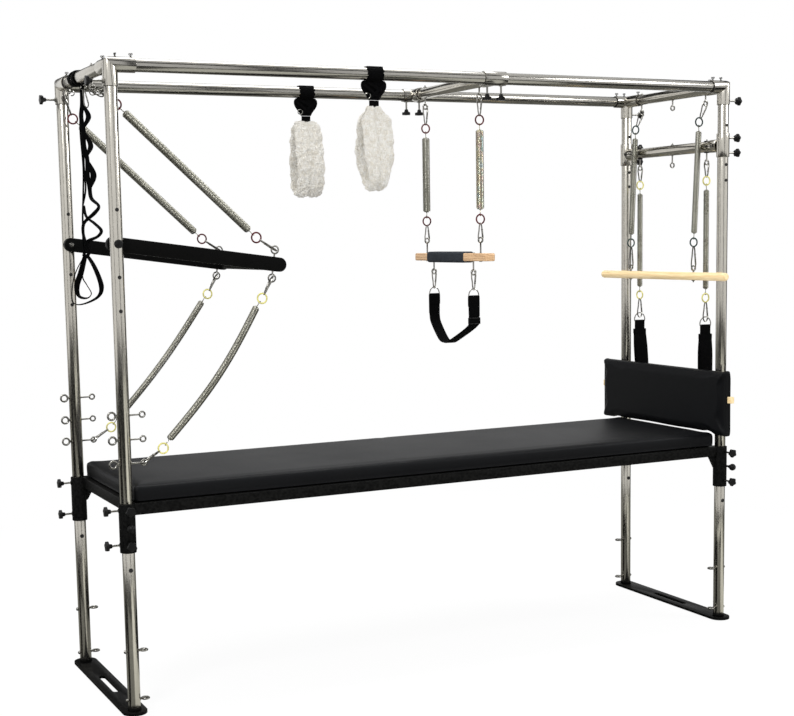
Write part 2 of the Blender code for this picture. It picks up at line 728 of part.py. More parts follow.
def corner_fitting(end, side, sx, sy, look):
    """Three short sleeves that meet in a mitre, with their screws, knob and, at the left, the spring's eye."""
    corner = Vector((sx * POST_X, sy * POST_Y, TOP_AXIS_HEIGHT))
    inward = (Vector((-sx, 0, 0)), Vector((0, -sy, 0)), Vector((0, 0, -1)))
    stub = CORNER_STUB_LEFT if sx < 0 else CORNER_STUB_RIGHT
    reaches = (stub, CORNER_STUB_ACROSS, CORNER_DROP)
    pieces, cuts = [], []
    for k, (direction, reach) in enumerate(zip(inward, reaches)):
        start = corner - direction * CORNER_RADIUS
        body = rod(start, corner + direction * reach, CORNER_RADIUS, CORNER_SIDES)
        for other in (inward[k - 1], inward[k - 2]):
            away = (other - direction).normalized()
            clip(body, corner + away * GAP, away)
        pieces.append(body)
        seat = corner + direction * (TUBE_BACK - TURN_SLIP)
        cuts.append(rod(seat, corner + direction * (reach + CUT_PAST), BORE_RADIUS, TUBE_SIDES))
    outward = -inward[0]
    surface = corner + outward * CORNER_RADIUS - Z * CORNER_KNOB_DROP
    pieces.append(star_knob(surface, outward, CORNER_KNOB_REACH - CORNER_RADIUS, CORNER_WALL / 2))
    if sx < 0:
        surface = Vector((corner.x, sy * PUSH_ARM_Y, TOP_AXIS_HEIGHT - CORNER_RADIUS))
        pieces += eye(surface, -Z, CORNER_EYE_DROP, inside=CORNER_WALL / 2)
    node(f"corner_{end}_{side}", pieces, look, cuts=cuts)


def top_rail(side, sy, look):
    reach = POST_X - TUBE_BACK
    y = sy * POST_Y
    body = pipe((-reach, y, TOP_AXIS_HEIGHT), (reach, y, TOP_AXIS_HEIGHT), TUBE_RADIUS, TUBE_RADIUS - TUBE_WALL)
    node("top_rail_" + side, [body], look)


def cross_tube_pieces(x, z, eyes, drop, reach):
    pieces = [pipe((x, -reach, z), (x, reach, z), TUBE_RADIUS, TUBE_RADIUS - TUBE_WALL)]
    for y in eyes:
        pieces += eye((x, y, z - TUBE_RADIUS), -Z, drop)
    return pieces


def top_cross_tubes(look):
    reach = POST_Y - TUBE_BACK
    left = cross_tube_pieces(-POST_X, TOP_AXIS_HEIGHT, (-HANGING_Y,), TOP_EYE_DROP, reach)
    node("top_cross_tube_left", left, look)
    eyes = (-ROLL_EYE_Y, 0, ROLL_EYE_Y)
    right = cross_tube_pieces(POST_X, TOP_AXIS_HEIGHT, eyes, TOP_EYE_DROP, reach)
    node("top_cross_tube_right", right, look)


def sleeve(name, centre, along, inward, knob_way, look, parent):
    """A T-shaped sleeve: a through bore along its post or rail, a stub for the cross tube and two knob holes."""
    centre, along, inward, knob_way = (Vector(v) for v in (centre, along, inward, knob_way))
    half = along * SLEEVE_LENGTH / 2
    body = rod(centre - half, centre + half, SLEEVE_RADIUS, TUBE_SIDES)
    stub = rod(centre, centre + inward * SLEEVE_STUB, SLEEVE_RADIUS, TUBE_SIDES)
    cuts = [
        rod(centre - half - along * CUT_PAST, centre + half + along * CUT_PAST, BORE_RADIUS, TUBE_SIDES),
        rod(centre, centre + inward * (SLEEVE_STUB + CUT_PAST), BORE_RADIUS, TUBE_SIDES),
    ]
    for shift in (-KNOB_PITCH / 2, KNOB_PITCH / 2):
        start = centre + along * shift
        outside = start + knob_way * (SLEEVE_RADIUS + CUT_PAST)
        cuts.append(rod(start, outside, STUD_DIAMETER / 2 + TURN_SLIP, BOLT_SIDES))
    node(name, [body, stub], look, parent, cuts)


def clamp_knob(name, centre, knob_way, look, parent):
    """A knob whose stud stops just short of the tube that it clamps."""
    centre, knob_way = Vector(centre), Vector(knob_way)
    place = axis_empty(name + "_axis", centre + knob_way * KNOB_REACH, parent)
    surface = centre + knob_way * SLEEVE_RADIUS
    inside = SLEEVE_RADIUS - TUBE_RADIUS - GAP
    shape = star_knob(surface, knob_way, KNOB_REACH - SLEEVE_RADIUS, inside)
    node(name, [shape], look, place)


def sliding_cross_bar(name, centre, along, knob_way, eyes, drop, steel, black, parent):
    """A cross tube between two sleeves, with its clamp knobs and eye bolts."""
    reach = POST_Y - TUBE_RADIUS - BAR_END_GAP
    node(name + "_tube", cross_tube_pieces(centre.x, centre.z, eyes, drop, reach), steel, parent)
    for side, sy in SIDES_OF_BED:
        spot = Vector((centre.x, sy * POST_Y, centre.z))
        sleeve(f"{name}_sleeve_{side}", spot, along, (0, -sy, 0), knob_way, steel, parent)
        for number, shift in ((1, -KNOB_PITCH / 2), (2, KNOB_PITCH / 2)):
            clamp_knob(f"{name}_knob_{side}_{number}", spot + Vector(along) * shift, knob_way, black, parent)


def push_point(along, y, up):
    """A world point from the push-through bar's own directions, along its arms and square to them."""
    arm = Vector((math.cos(PUSH_SLOPE), 0, -math.sin(PUSH_SLOPE)))
    square = Vector((math.sin(PUSH_SLOPE), 0, math.cos(PUSH_SLOPE)))
    return Vector((-POST_X, y, PUSH_PIVOT_HEIGHT)) + arm * along + square * up


def push_eye(sy, sz):
    """The centre of an eye on the push-through bar."""
    rise = PUSH_ARM_HEIGHT / 2 + PUSH_EYE_DROP
    return push_point(PUSH_ARM_REACH - PUSH_EYE_INSET, sy * PUSH_ARM_Y, sz * rise)


def push_bar(look, parent):
    arm = push_point(1, 0, 0) - push_point(0, 0, 0)
    square = push_point(0, 0, 1) - push_point(0, 0, 0)
    radius = PUSH_ARM_HEIGHT / 2
    outline = rounded_outline(PUSH_ARM_REACH + PUSH_ARM_HEIGHT, PUSH_ARM_HEIGHT, radius, steps=3)
    cavity_height = PUSH_ARM_HEIGHT - 2 * PUSH_ARM_WALL
    cavity_start = PUSH_ARM_SOLID_END
    cavity_end = PUSH_ARM_REACH - PUSH_TUBE_DIAMETER / 4
    cavity = rounded_outline(cavity_end - cavity_start, cavity_height, cavity_height / 3, steps=1)
    pieces, cuts = [], []
    for sy in (-1, 1):
        middle = push_point(PUSH_ARM_REACH / 2, sy * PUSH_ARM_Y, 0)
        pieces.append(plate(outline, middle, arm, square, Y, PUSH_ARM_THICKNESS))
        inner = push_point((cavity_start + cavity_end) / 2, sy * PUSH_ARM_Y, 0)
        cuts.append(plate(cavity, inner, arm, square, Y, PUSH_ARM_THICKNESS - 2 * PUSH_ARM_WALL))
        drain = push_point(PUSH_ARM_DRAIN, sy * PUSH_ARM_Y, 0)
        cuts.append(rod(drain, drain - square * PUSH_ARM_HEIGHT, PUSH_DRAIN_DIAMETER / 2, HOLE_SIDES))
        pivot = push_point(0, sy * PUSH_ARM_Y, 0)
        cuts.append(rod(pivot - Y * TUBE_DIAMETER, pivot + Y * TUBE_DIAMETER, PIVOT_DIAMETER / 2 + TURN_SLIP, BOLT_SIDES))
        for sz in (-1, 1):
            surface = push_point(PUSH_ARM_REACH - PUSH_EYE_INSET, sy * PUSH_ARM_Y, sz * radius)
            pieces += eye(surface, square * sz, PUSH_EYE_DROP, inside=PUSH_ARM_WALL / 2)
    far = PUSH_ARM_Y - PUSH_ARM_THICKNESS / 2 + PUSH_TUBE_SINK
    ends = [push_point(PUSH_ARM_REACH, sy * far, 0) for sy in (-1, 1)]
    pieces.append(rod(*ends, PUSH_TUBE_DIAMETER / 2, TUBE_SIDES))
    bore_far = far - PUSH_TUBE_SINK + PUSH_BORE_SINK
    bore_ends = [push_point(PUSH_ARM_REACH, sy * bore_far, 0) for sy in (-1, 1)]
    cuts.append(rod(*bore_ends, PUSH_TUBE_DIAMETER / 2 - TUBE_WALL, TUBE_SIDES))
    node("push_bar", pieces, look, parent, cuts)


def pivot_bolt(side, sy, look):
    """A bolt through the post and the arm, with its head outside and its nut inside."""
    head_start = POST_Y + TUBE_RADIUS + GAP
    nut_start = PUSH_ARM_Y - PUSH_ARM_THICKNESS / 2 - GAP
    shank = PIVOT_DIAMETER / 2
    profile = (
        (nut_start - PIVOT_NUT_LENGTH, PIVOT_NUT_DIAMETER / 2),
        (nut_start, PIVOT_NUT_DIAMETER / 2),
        (nut_start, shank),
        (head_start, shank),
        (head_start, PIVOT_HEAD_DIAMETER / 2),
        (head_start + PIVOT_HEAD_LENGTH, PIVOT_HEAD_DIAMETER / 2),
    )
    place = (-POST_X, 0, PUSH_PIVOT_HEIGHT)
    node("pivot_bolt_" + side, [turned(profile, place, (0, sy, 0), BOLT_SIDES)], look)


def least_gap(points, diameter):
    """The least space between parts of a wire that aren't neighbours along it."""
    apart = POINTS_PER_CURL - 2
    least = min((points[a] - points[b]).length for a in range(len(points)) for b in range(a + apart, len(points)))
    return least - diameter


def coil_points(start, end, diameter, curls, bow):
    """A helix between two points on its axis, drawn in to the axis at both ends."""
    line = end - start
    axis = line.normalized()
    side = (Y - axis * axis.dot(Y)).normalized()
    other = axis.cross(side)
    steps = curls * POINTS_PER_CURL
    radius = (diameter - SPRING_WIRE) / 2
    points = []
    for k in range(steps + 1):
        share = k / steps
        angle = 2 * math.pi * k / POINTS_PER_CURL
        reach = radius * min(1, k / POINTS_TO_FULL_WIDTH, (steps - k) / POINTS_TO_FULL_WIDTH)
        sag = other * bow * math.sin(math.pi * share)
        points.append(start + line * share + (side * math.cos(angle) + other * math.sin(angle)) * reach + sag)
    return points


def spring(name, first_anchor, first_ring, last_ring, last_anchor, diameter, curls, look, parent=None, bow=0):
    """A spring with a ring at each end and a carabiner from each ring to its anchor."""
    line = (last_ring - first_ring).normalized()
    centreline = (RING_DIAMETER - RING_WIRE) / 2
    coil = coil_points(first_ring + line * COIL_FROM_RING, last_ring - line * COIL_FROM_RING, diameter, curls, bow)
    points = [first_ring + line * centreline, *coil, last_ring - line * centreline]
    print(f"{name}: least gap between curls {1000 * least_gap(points, SPRING_WIRE):.1f} mm")
    pieces = [wire(points, SPRING_WIRE)]
    for middle, anchor in ((first_ring, first_anchor), (last_ring, last_anchor)):
        pieces.append(ring(middle, Y, RING_DIAMETER, RING_WIRE, line))
        toward = (anchor - middle).normalized()
        pieces.append(carabiner(middle + toward * (centreline - CARABINER_WIRE / 2), anchor))
    node(name, pieces, look, parent)


def push_springs(look):
    for side, sy in SIDES_OF_BED:
        top = Vector((-POST_X, sy * PUSH_ARM_Y, TOP_AXIS_HEIGHT - CORNER_RADIUS - CORNER_EYE_DROP))
        upper = push_eye(sy, 1)
        spring("upper_push_spring_" + side, top, top + UPPER_PUSH_RING_OFFSET, upper + UPPER_PUSH_END_OFFSET,
               upper, UPPER_PUSH_COIL, UPPER_PUSH_CURLS, look)
        lower = push_eye(sy, -1)
        foot = Vector((-POST_X + POST_EYE_INNER_REACH, sy * POST_Y, POST_EYE_HEIGHTS[0]))
        spring("lower_push_spring_" + side, lower, lower + LOWER_PUSH_RING_OFFSET, foot + LOWER_PUSH_END_OFFSET,
               foot, LOWER_PUSH_COIL, LOWER_PUSH_CURLS, look, bow=-LOWER_PUSH_BOW)


def trapeze_springs(look, parent):
    eye_height = TRAPEZE_BAR_HEIGHT + TRAPEZE_BAR_TALL / 2 + TRAPEZE_EYE_RISE
    for side, sy in SIDES_OF_BED:
        spots = [Vector((SLIDE_BAR_X, sy * TRAPEZE_SPRING_Y, z))
                 for z in (TRAPEZE_EYE_HEIGHT, *TRAPEZE_RING_HEIGHTS, eye_height)]
        spring("trapeze_spring_" + side, *spots, TRAPEZE_COIL, TRAPEZE_CURLS, look, parent)


def bar_section(extra):
    tall = TRAPEZE_BAR_TALL + 2 * extra
    deep = TRAPEZE_BAR_DEEP + 2 * extra
    return rounded_outline(deep, tall, TRAPEZE_BAR_ROUNDING + extra, steps=3)


def trapeze_bar(wood, rubber, parent):
    middle = Vector((SLIDE_BAR_X, TRAPEZE_BAR_SHIFT, TRAPEZE_BAR_HEIGHT))
    half = TRAPEZE_BAR_TALL / 2
    pieces = [plate(bar_section(0), middle, X, Z, Y, TRAPEZE_BAR_LENGTH)]
    bolts = []
    for sy in (-1, 1):
        top = Vector((SLIDE_BAR_X, sy * TRAPEZE_SPRING_Y, TRAPEZE_BAR_HEIGHT + half))
        pieces += eye(top, Z, TRAPEZE_EYE_RISE, inside=half)
        low = Vector((SLIDE_BAR_X, sy * SLING_EYE_Y, TRAPEZE_BAR_HEIGHT - half))
        pieces += eye(low, -Z, SLING_EYE_DROP, inside=half)
        bolts += [(top, Z), (low, -Z)]
    node("trapeze_bar", pieces, wood, parent)
    grip_middle = Vector((SLIDE_BAR_X, (GRIP_START + GRIP_END) / 2, TRAPEZE_BAR_HEIGHT))
    length = GRIP_END - GRIP_START
    body = plate(bar_section(GRIP_THICKNESS), grip_middle, X, Z, Y, length)
    cuts = [plate(bar_section(GAP), grip_middle, X, Z, Y, length + 2 * CUT_PAST)]
    for spot, way in bolts:
        if GRIP_START < spot.y < GRIP_END:
            cuts.append(rod(spot - way * EYE_WIRE, spot + way * CUT_PAST, EYE_WIRE / 2 + GAP, BOLT_SIDES))
    node("trapeze_grip", [body], rubber, parent, cuts)


def trapeze_sling(look, parent):
    """Two carabiners with D rings, and the webbing that hangs between them in a V."""
    eye_height = TRAPEZE_BAR_HEIGHT - TRAPEZE_BAR_TALL / 2 - SLING_EYE_DROP
    ring_height = eye_height - SLING_RING_DROP
    web_top = ring_height - SLING_RING_HEIGHT / 2
    corner_height = web_top - SLING_STRAIGHT
    pieces = []
    for sy in (-1, 1):
        spot = Vector((SLIDE_BAR_X, sy * SLING_EYE_Y, 0))
        half = (SLING_RING_WIDTH - RING_WIRE) / 2
        outline = [spot + Z * web_top - X * half, spot + Z * web_top + X * half]
        for k in range(1, SLING_RING_STEPS):
            angle = math.pi * k / SLING_RING_STEPS
            outline.append(spot + X * half * math.cos(angle) + Z * (web_top + SLING_RING_HEIGHT * math.sin(angle)))
        pieces.append(wire(outline, RING_WIRE, closed=True, resolution=0))
        ring_top = web_top + SLING_RING_HEIGHT
        pieces.append(carabiner(spot + Z * (ring_top - SLING_LINK_SINK), spot + Z * eye_height))
    bottom = web_top - SLING_DEPTH
    rear_rise, front_rise = SLING_BOTTOM_RISE
    path = (
        (SLING_EYE_Y, web_top),
        (SLING_EYE_Y, corner_height + SLING_TURN_HEIGHT),
        (SLING_EYE_Y - SLING_TURN_IN, corner_height),
        (SLING_SHIFT + SLING_BOTTOM_REACH, bottom + rear_rise),
        (SLING_SHIFT, bottom),
        (SLING_SHIFT - SLING_BOTTOM_REACH, bottom + front_rise),
        (-SLING_EYE_Y + SLING_TURN_IN, corner_height),
        (-SLING_EYE_Y, corner_height + SLING_TURN_HEIGHT),
        (-SLING_EYE_Y, web_top),
    )
    points = [Vector((SLIDE_BAR_X, y, z)) for y, z in path]
    pieces.append(web(points, X, SLING_WEB_WIDTH - RING_WIRE, WEB_THICKNESS))
    node("trapeze_sling", pieces, look, parent)


def roll_down_spots(sy):
    """The eye, two ring centres, the bar's eye and the bar's axis of one roll-down spring."""
    top = Vector((POST_X, sy * ROLL_EYE_Y, TRAPEZE_EYE_HEIGHT))
    upper = top + Vector((-ROLL_RING_LEAN, 0, -ROLL_RING_DROP))
    lower = upper + Vector((-ROLL_SPRING_LEAN, 0, -ROLL_SPRING_LENGTH))
    bar = lower - Z * ROLL_BAR_DROP
    bar_eye = bar + Z * (ROLL_BAR_DIAMETER / 2 + ROLL_EYE_RISE)
    return top, upper, lower, bar_eye, bar


def roll_down_springs(look, parent):
    for side, sy in SIDES_OF_BED:
        spots = roll_down_spots(sy)[:4]
        spring("roll_down_spring_" + side, *spots, ROLL_COIL, ROLL_CURLS, look, parent)


def roll_down_bar(wood, parent):
    bar = roll_down_spots(1)[4]
    reach = ROLL_BAR_LENGTH / 2
    pieces = [rod((bar.x, -reach, bar.z), (bar.x, reach, bar.z), ROLL_BAR_DIAMETER / 2, 12)]
    for sy in (-1, 1):
        top = Vector((bar.x, sy * ROLL_EYE_Y, bar.z + ROLL_BAR_DIAMETER / 2))
        pieces += eye(top, Z, ROLL_EYE_RISE, inside=ROLL_BAR_DIAMETER / 2)
        pieces.append(nut(top - Z * ROLL_BAR_DIAMETER, -Z, NUT_SINK))
    node("roll_down_bar", pieces, wood, parent)


def strap_heights():
    """Heights of one strap's upper ring, lower ring, D ring and the end of its tail."""
    upper = HEIGHT_EYE_HEIGHT - STRAP_RING_DROP
    lower = upper - STRAP_SPRING_LENGTH
    d_ring = lower - STRAP_LINK
    return upper, lower, d_ring, d_ring - STRAP_TAIL


def strap_spring(side, sy, look, parent):
    upper, lower, d_ring, _ = strap_heights()
    spots = [Vector((POST_X, sy * STRAP_EYE_Y, z)) for z in (HEIGHT_EYE_HEIGHT, upper, lower, d_ring)]
    spring("strap_spring_" + side, *spots, STRAP_COIL, STRAP_CURLS, look, parent)


def teardrop(centre_y, top, height, opening, x, steps):
    """A hanging loop's path, narrow at the top and round below, in the plane square to X."""
    points = []
    for k in range(steps):
        angle = 2 * math.pi * k / steps
        down = (1 - math.cos(angle)) / 2
        share = TEARDROP_NECK_SHARE + (1 - TEARDROP_NECK_SHARE) * down
        out = math.sin(angle) * opening * share
        points.append(Vector((x, centre_y + out, top - height * down)))
    return points


def strap_loop(side, sy, look, parent):
    """A D ring, a webbing tail and the foot loop below it."""
    _, _, d_ring, tail_end = strap_heights()
    y = sy * STRAP_EYE_Y
    centre = Vector((POST_X, y, d_ring))
    loop = teardrop(y, tail_end + WEB_THICKNESS, STRAP_LOOP_HEIGHT, STRAP_LOOP_OPENING, POST_X, STRAP_LOOP_STEPS)
    tail = [centre - Z * (EYE_DIAMETER / 2 - STRAP_SINK), Vector((POST_X, y, tail_end))]
    pieces = [
        ring(centre, Y, EYE_DIAMETER, EYE_WIRE, Z),
        web(tail, X, STRAP_WEB_WIDTH, 1.5 * WEB_THICKNESS),
        web(loop, X, STRAP_LOOP_WIDTH, WEB_THICKNESS, loop=True),
    ]
    node("strap_loop_" + side, pieces, look, parent)


def fleece_pivot(index, sy):
    return Vector((HANGER_X[index], sy * POST_Y, TOP_AXIS_HEIGHT - HANGER_DROP))


def fleece_hanger(side, sy, index, look, parent):
    """A webbing band round the rail that widens and then narrows to a tail."""
    pivot = fleece_pivot(index, sy)
    inner = TUBE_RADIUS + SLIP
    outer = inner + HANGER_THICKNESS / 2
    rail = Vector((pivot.x, pivot.y, TOP_AXIS_HEIGHT))
    half = X * HANGER_BAND_WIDTH / 2
    start = -outer * TUBE_FLAT + HANGER_THICKNESS / 4
    right_side = (
        (HANGER_BAND_WIDTH / 2, start),
        (HANGER_SPREAD_WIDTH / 2, start - HANGER_SHOULDER),
        (HANGER_SPREAD_WIDTH / 2, start - 2 * HANGER_SHOULDER),
        (HANGER_TAIL_WIDTH / 2, HANGER_TAIL_LENGTH - HANGER_DROP),
        (HANGER_TAIL_WIDTH / 2, GAP - HANGER_DROP),
    )
    outline = (*right_side, *((-across, up) for across, up in reversed(right_side)))
    pieces = [pipe(rail - half, rail + half, outer, inner), plate(outline, rail, X, Z, Y, HANGER_THICKNESS)]
    node("fleece_hanger_" + side, pieces, look, parent)


def fleece_loop(side, sy, index, look, parent):
    """A thick padded loop below a short neck."""
    pivot = fleece_pivot(index, sy)
    neck_end = pivot.z - FLEECE_NECK
    height = FLEECE_HEIGHT - FLEECE_THICKNESS - FLEECE_NECK
    path = teardrop(pivot.y, neck_end - FLEECE_THICKNESS / 2, height, FLEECE_OPENING, pivot.x, FLEECE_STEPS)
    neck = [pivot - Z * FLEECE_NECK_RISE, Vector((pivot.x, pivot.y, neck_end - FLEECE_NECK_SINK))]
    pieces = [
        web(path, X, FLEECE_WIDTH, FLEECE_THICKNESS, loop=True),
        web(neck, X, HANGER_TAIL_WIDTH - WEB_THICKNESS, HANGER_THICKNESS),
    ]
    node("fleece_loop_" + side, pieces, look, parent)


def hanging_point(across, up, out=0):
    """A point of the hanging straps, which hang in an upright plane turned from the X axis."""
    along = Vector((math.cos(HANGING_TURN), math.sin(HANGING_TURN), 0))
    depth = Vector((-math.sin(HANGING_TURN), math.cos(HANGING_TURN), 0))
    return Vector((-POST_X, HANGING_Y, TOP_AXIS_HEIGHT)) + along * across + depth * out + Z * up


def hanging_straps(look, parent):
    """Webbing wrapped round the left cross tube, its row of small loops and its two end loops."""
    depth = hanging_point(0, 0, 1) - hanging_point(0, 0, 0)
    width, thickness = HANGING_WEB_WIDTH, HANGING_WEB_THICKNESS
    tube = Vector((-POST_X, HANGING_Y, TOP_AXIS_HEIGHT))
    half = Y * HANGING_WRAP_WIDTH / 2
    inner = TUBE_RADIUS / TUBE_FLAT + SLIP
    pieces = [pipe(tube - half, tube + half, inner + HANGING_WRAP_THICKNESS, inner)]
    under_wrap = (UNDER_WRAP_ACROSS, -inner - HANGING_WRAP_THICKNESS / 2)
    trunk = [hanging_point(*spot) for spot in (under_wrap, *HANGING_TRUNK)]
    pieces.append(web(trunk, depth, width, HANGING_TRUNK_THICKNESS))
    for up, height, reach in HANGING_LOOPS:
        path = []
        for k in range(SMALL_LOOP_STEPS):
            angle = 2 * math.pi * k / SMALL_LOOP_STEPS
            across = HANGING_LOOPS_ACROSS - reach * SMALL_LOOP_REACH_SHARE * math.cos(angle)
            path.append(hanging_point(across, up + height / 2 * math.sin(angle), SMALL_LOOPS_OUT))
        pieces.append(web(path, depth, width, thickness, loop=True))
    for route, out, wide, closed in (
        (HANGING_TAIL, TAIL_OUT, width, False),
        (HANGING_SIDE_CORD, SIDE_CORD_OUT, width / 3, False),
        (HANGING_END_LOOP, END_LOOP_OUT, width, True),
        (HANGING_SECOND_LOOP, SECOND_LOOP_OUT, width, True),
    ):
        pieces.append(web([hanging_point(*spot, out) for spot in route], depth, wide, thickness, closed))
    node("hanging_straps", pieces, look, parent)


def build():
    clear_scene()
    steel = material("polished_steel", (0.62, 0.60, 0.56), 0.18, 1.0)
    black = material("black_powder_coat", (0.012, 0.012, 0.013), 0.45, 0.0)
    plastic = material("black_plastic", (0.010, 0.010, 0.011), 0.38, 0.0)
    vinyl = material("black_vinyl", (0.016, 0.016, 0.018), 0.50, 0.0)
    zinc = material("zinc_spring", (0.48, 0.49, 0.45), 0.30, 1.0)
    beech = material("beech", (0.60, 0.42, 0.25), 0.50, 0.0)
    oak = material("oak", (0.55, 0.36, 0.18), 0.50, 0.0)
    foam = material("grip_foam", (0.030, 0.034, 0.042), 0.75, 0.0)
    webbing = material("black_webbing", (0.010, 0.010, 0.011), 0.85, 0.0)
    fleece = material("cream_fleece", (0.80, 0.77, 0.70), 0.95, 0.0)

    for end, sx in ENDS_OF_BED:
        foot_plate(end, sx, black)
        for side, sy in SIDES_OF_BED:
            leg(end, side, sx, sy, steel)
            post(end, side, sx, sy, steel)
            corner_fitting(end, side, sx, sy, steel)
    bed_frame(black)
    mattress(vinyl)
    back_pad(vinyl, beech)
    for side, sy in SIDES_OF_BED:
        top_rail(side, sy, steel)
        pivot_bolt(side, sy, plastic)
    top_cross_tubes(steel)

    push_axis = axis_empty("push_bar_axis", (-POST_X, 0, PUSH_PIVOT_HEIGHT))
    push_bar(black, push_axis)
    push_springs(zinc)

    carriage = axis_empty("slide_bar_axis", (SLIDE_BAR_X, 0, TOP_AXIS_HEIGHT))
    eyes = (-TRAPEZE_SPRING_Y, TRAPEZE_SPRING_Y)
    spot = Vector((SLIDE_BAR_X, 0, TOP_AXIS_HEIGHT))
    sliding_cross_bar("slide_bar", spot, X, -Z, eyes, TOP_EYE_DROP, steel, plastic, carriage)
    swing = axis_empty("trapeze_swing_axis", (SLIDE_BAR_X, 0, TRAPEZE_EYE_HEIGHT), carriage)
    trapeze_springs(zinc, swing)
    drop = axis_empty("trapeze_drop_axis", (SLIDE_BAR_X, 0, TRAPEZE_BAR_HEIGHT), swing)
    trapeze_bar(oak, foam, drop)
    sling_height = TRAPEZE_BAR_HEIGHT - TRAPEZE_BAR_TALL / 2 - SLING_EYE_DROP
    trapeze_sling(webbing, axis_empty("sling_axis", (SLIDE_BAR_X, 0, sling_height), drop))

    height_bar = axis_empty("height_bar_axis", (POST_X, 0, HEIGHT_BAR_Z))
    eyes = (-STRAP_EYE_Y, 0, STRAP_EYE_Y)
    spot = Vector((POST_X, 0, HEIGHT_BAR_Z))
    sliding_cross_bar("height_bar", spot, Z, X, eyes, HEIGHT_BAR_EYE_DROP, steel, plastic, height_bar)
    for side, sy in SIDES_OF_BED:
        place = (POST_X, sy * STRAP_EYE_Y, HEIGHT_EYE_HEIGHT)
        strap_swing = axis_empty(f"strap_swing_{side}_axis", place, height_bar)
        strap_spring(side, sy, zinc, strap_swing)
        strap_loop(side, sy, webbing, axis_empty(f"strap_drop_{side}_axis", place, strap_swing))

    roll_swing = axis_empty("roll_down_swing_axis", (POST_X, 0, TRAPEZE_EYE_HEIGHT))
    roll_down_springs(zinc, roll_swing)
    roll_down_bar(beech, axis_empty("roll_down_drop_axis", roll_down_spots(0)[4], roll_swing))

    for index, (side, sy) in enumerate(SIDES_OF_BED):
        hanger = axis_empty(f"fleece_slide_{side}_axis", (HANGER_X[index], sy * POST_Y, TOP_AXIS_HEIGHT))
        fleece_hanger(side, sy, index, webbing, hanger)
        swing = axis_empty(f"fleece_swing_{side}_axis", fleece_pivot(index, sy), hanger)
        fleece_loop(side, sy, index, fleece, swing)
    straps_axis = axis_empty("hanging_straps_axis", (-POST_X, HANGING_Y, TOP_AXIS_HEIGHT))
    hanging_straps(webbing, straps_axis)


build()
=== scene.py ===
import math

import bpy
from mathutils import Matrix, Vector


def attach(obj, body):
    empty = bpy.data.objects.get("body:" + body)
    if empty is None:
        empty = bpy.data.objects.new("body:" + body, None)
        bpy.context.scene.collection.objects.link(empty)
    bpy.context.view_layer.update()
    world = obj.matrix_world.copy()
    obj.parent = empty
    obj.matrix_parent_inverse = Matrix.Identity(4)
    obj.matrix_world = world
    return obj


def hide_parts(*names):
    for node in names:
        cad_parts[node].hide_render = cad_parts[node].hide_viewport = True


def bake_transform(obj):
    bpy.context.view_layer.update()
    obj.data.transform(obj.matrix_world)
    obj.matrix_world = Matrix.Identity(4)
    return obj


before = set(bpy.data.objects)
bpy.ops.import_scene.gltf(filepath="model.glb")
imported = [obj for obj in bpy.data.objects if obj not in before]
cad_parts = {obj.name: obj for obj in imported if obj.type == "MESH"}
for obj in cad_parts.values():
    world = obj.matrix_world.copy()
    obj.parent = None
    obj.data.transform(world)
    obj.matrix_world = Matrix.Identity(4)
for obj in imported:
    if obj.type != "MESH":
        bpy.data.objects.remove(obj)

for leftover in ("Cube", "Light", "Camera"):
    if leftover in bpy.data.objects:
        bpy.data.objects.remove(bpy.data.objects[leftover])
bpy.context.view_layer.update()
scene = bpy.context.scene
scene.view_settings.view_transform = "Standard"
xAxis, yAxis, zAxis = Vector((1, 0, 0)), Vector((0, 1, 0)), Vector((0, 0, 1))
sides = (("front", -1), ("rear", 1))
ends = (("left", -1), ("right", 1))

# the table's main lines, in metres
table = {
    "postX": 1.21, "postY": 0.318, "topZ": 2.102, "bedTop": 0.700, "tubeRadius": 0.021, "tubeWall": 0.002,
    "slideX": 0.185, "heightBarZ": 1.880, "pivotZ": 1.541, "armY": 0.281, "topEyeZ": 2.050,
}
postX, postY, topZ, bedTop = table["postX"], table["postY"], table["topZ"], table["bedTop"]
tubeRadius, armY, topEyeZ = table["tubeRadius"], table["armY"], table["topEyeZ"]


# camera at the photo's angle
print("camera")
shot = {
    "place": (-2.4651, -4.83945, 1.54275), "yaw": 0.4501, "pitch": 0.1166, "roll": -0.0177,
    "focal": 1439.15, "centre": (382.1, 407.35), "wide": 794, "tall": 716, "sensor": 36.0,
}


def addCamera():
    yaw, pitch, roll = shot["yaw"], shot["pitch"], shot["roll"]
    forward = Vector((math.sin(yaw) * math.cos(pitch), math.cos(yaw) * math.cos(pitch), -math.sin(pitch)))
    level = Vector((math.cos(yaw), -math.sin(yaw), 0))
    up = level.cross(forward)
    right = level * math.cos(roll) + up * math.sin(roll)
    top = up * math.cos(roll) - level * math.sin(roll)
    turn = Matrix((right, top, -forward)).transposed().to_4x4()
    bpy.ops.object.camera_add()
    camera = bpy.context.object
    camera.name = "photoCamera"
    camera.matrix_world = Matrix.Translation(shot["place"]) @ turn
    lens = camera.data
    lens.sensor_width = shot["sensor"]
    lens.lens = shot["focal"] * shot["sensor"] / shot["wide"]
    lens.shift_x = (shot["wide"] / 2 - shot["centre"][0]) / shot["wide"]
    lens.shift_y = (shot["centre"][1] - shot["tall"] / 2) / shot["wide"]
    lens.clip_end = 100
    scene.camera = camera


addCamera()


# finishes
print("finishes")


def newGroup(name, inputs, outputs):
    group = bpy.data.node_groups.new(name, "ShaderNodeTree")
    kinds = {"vector": "NodeSocketVector", "color": "NodeSocketColor", "value": "NodeSocketFloat"}
    for label, kind, start in inputs:
        socket = group.interface.new_socket(name=label, in_out="INPUT", socket_type=kinds[kind])
        if start is not None:
            socket.default_value = start
    for label, kind in outputs:
        group.interface.new_socket(name=label, in_out="OUTPUT", socket_type=kinds[kind])
    return group, group.nodes.new("NodeGroupInput"), group.nodes.new("NodeGroupOutput")


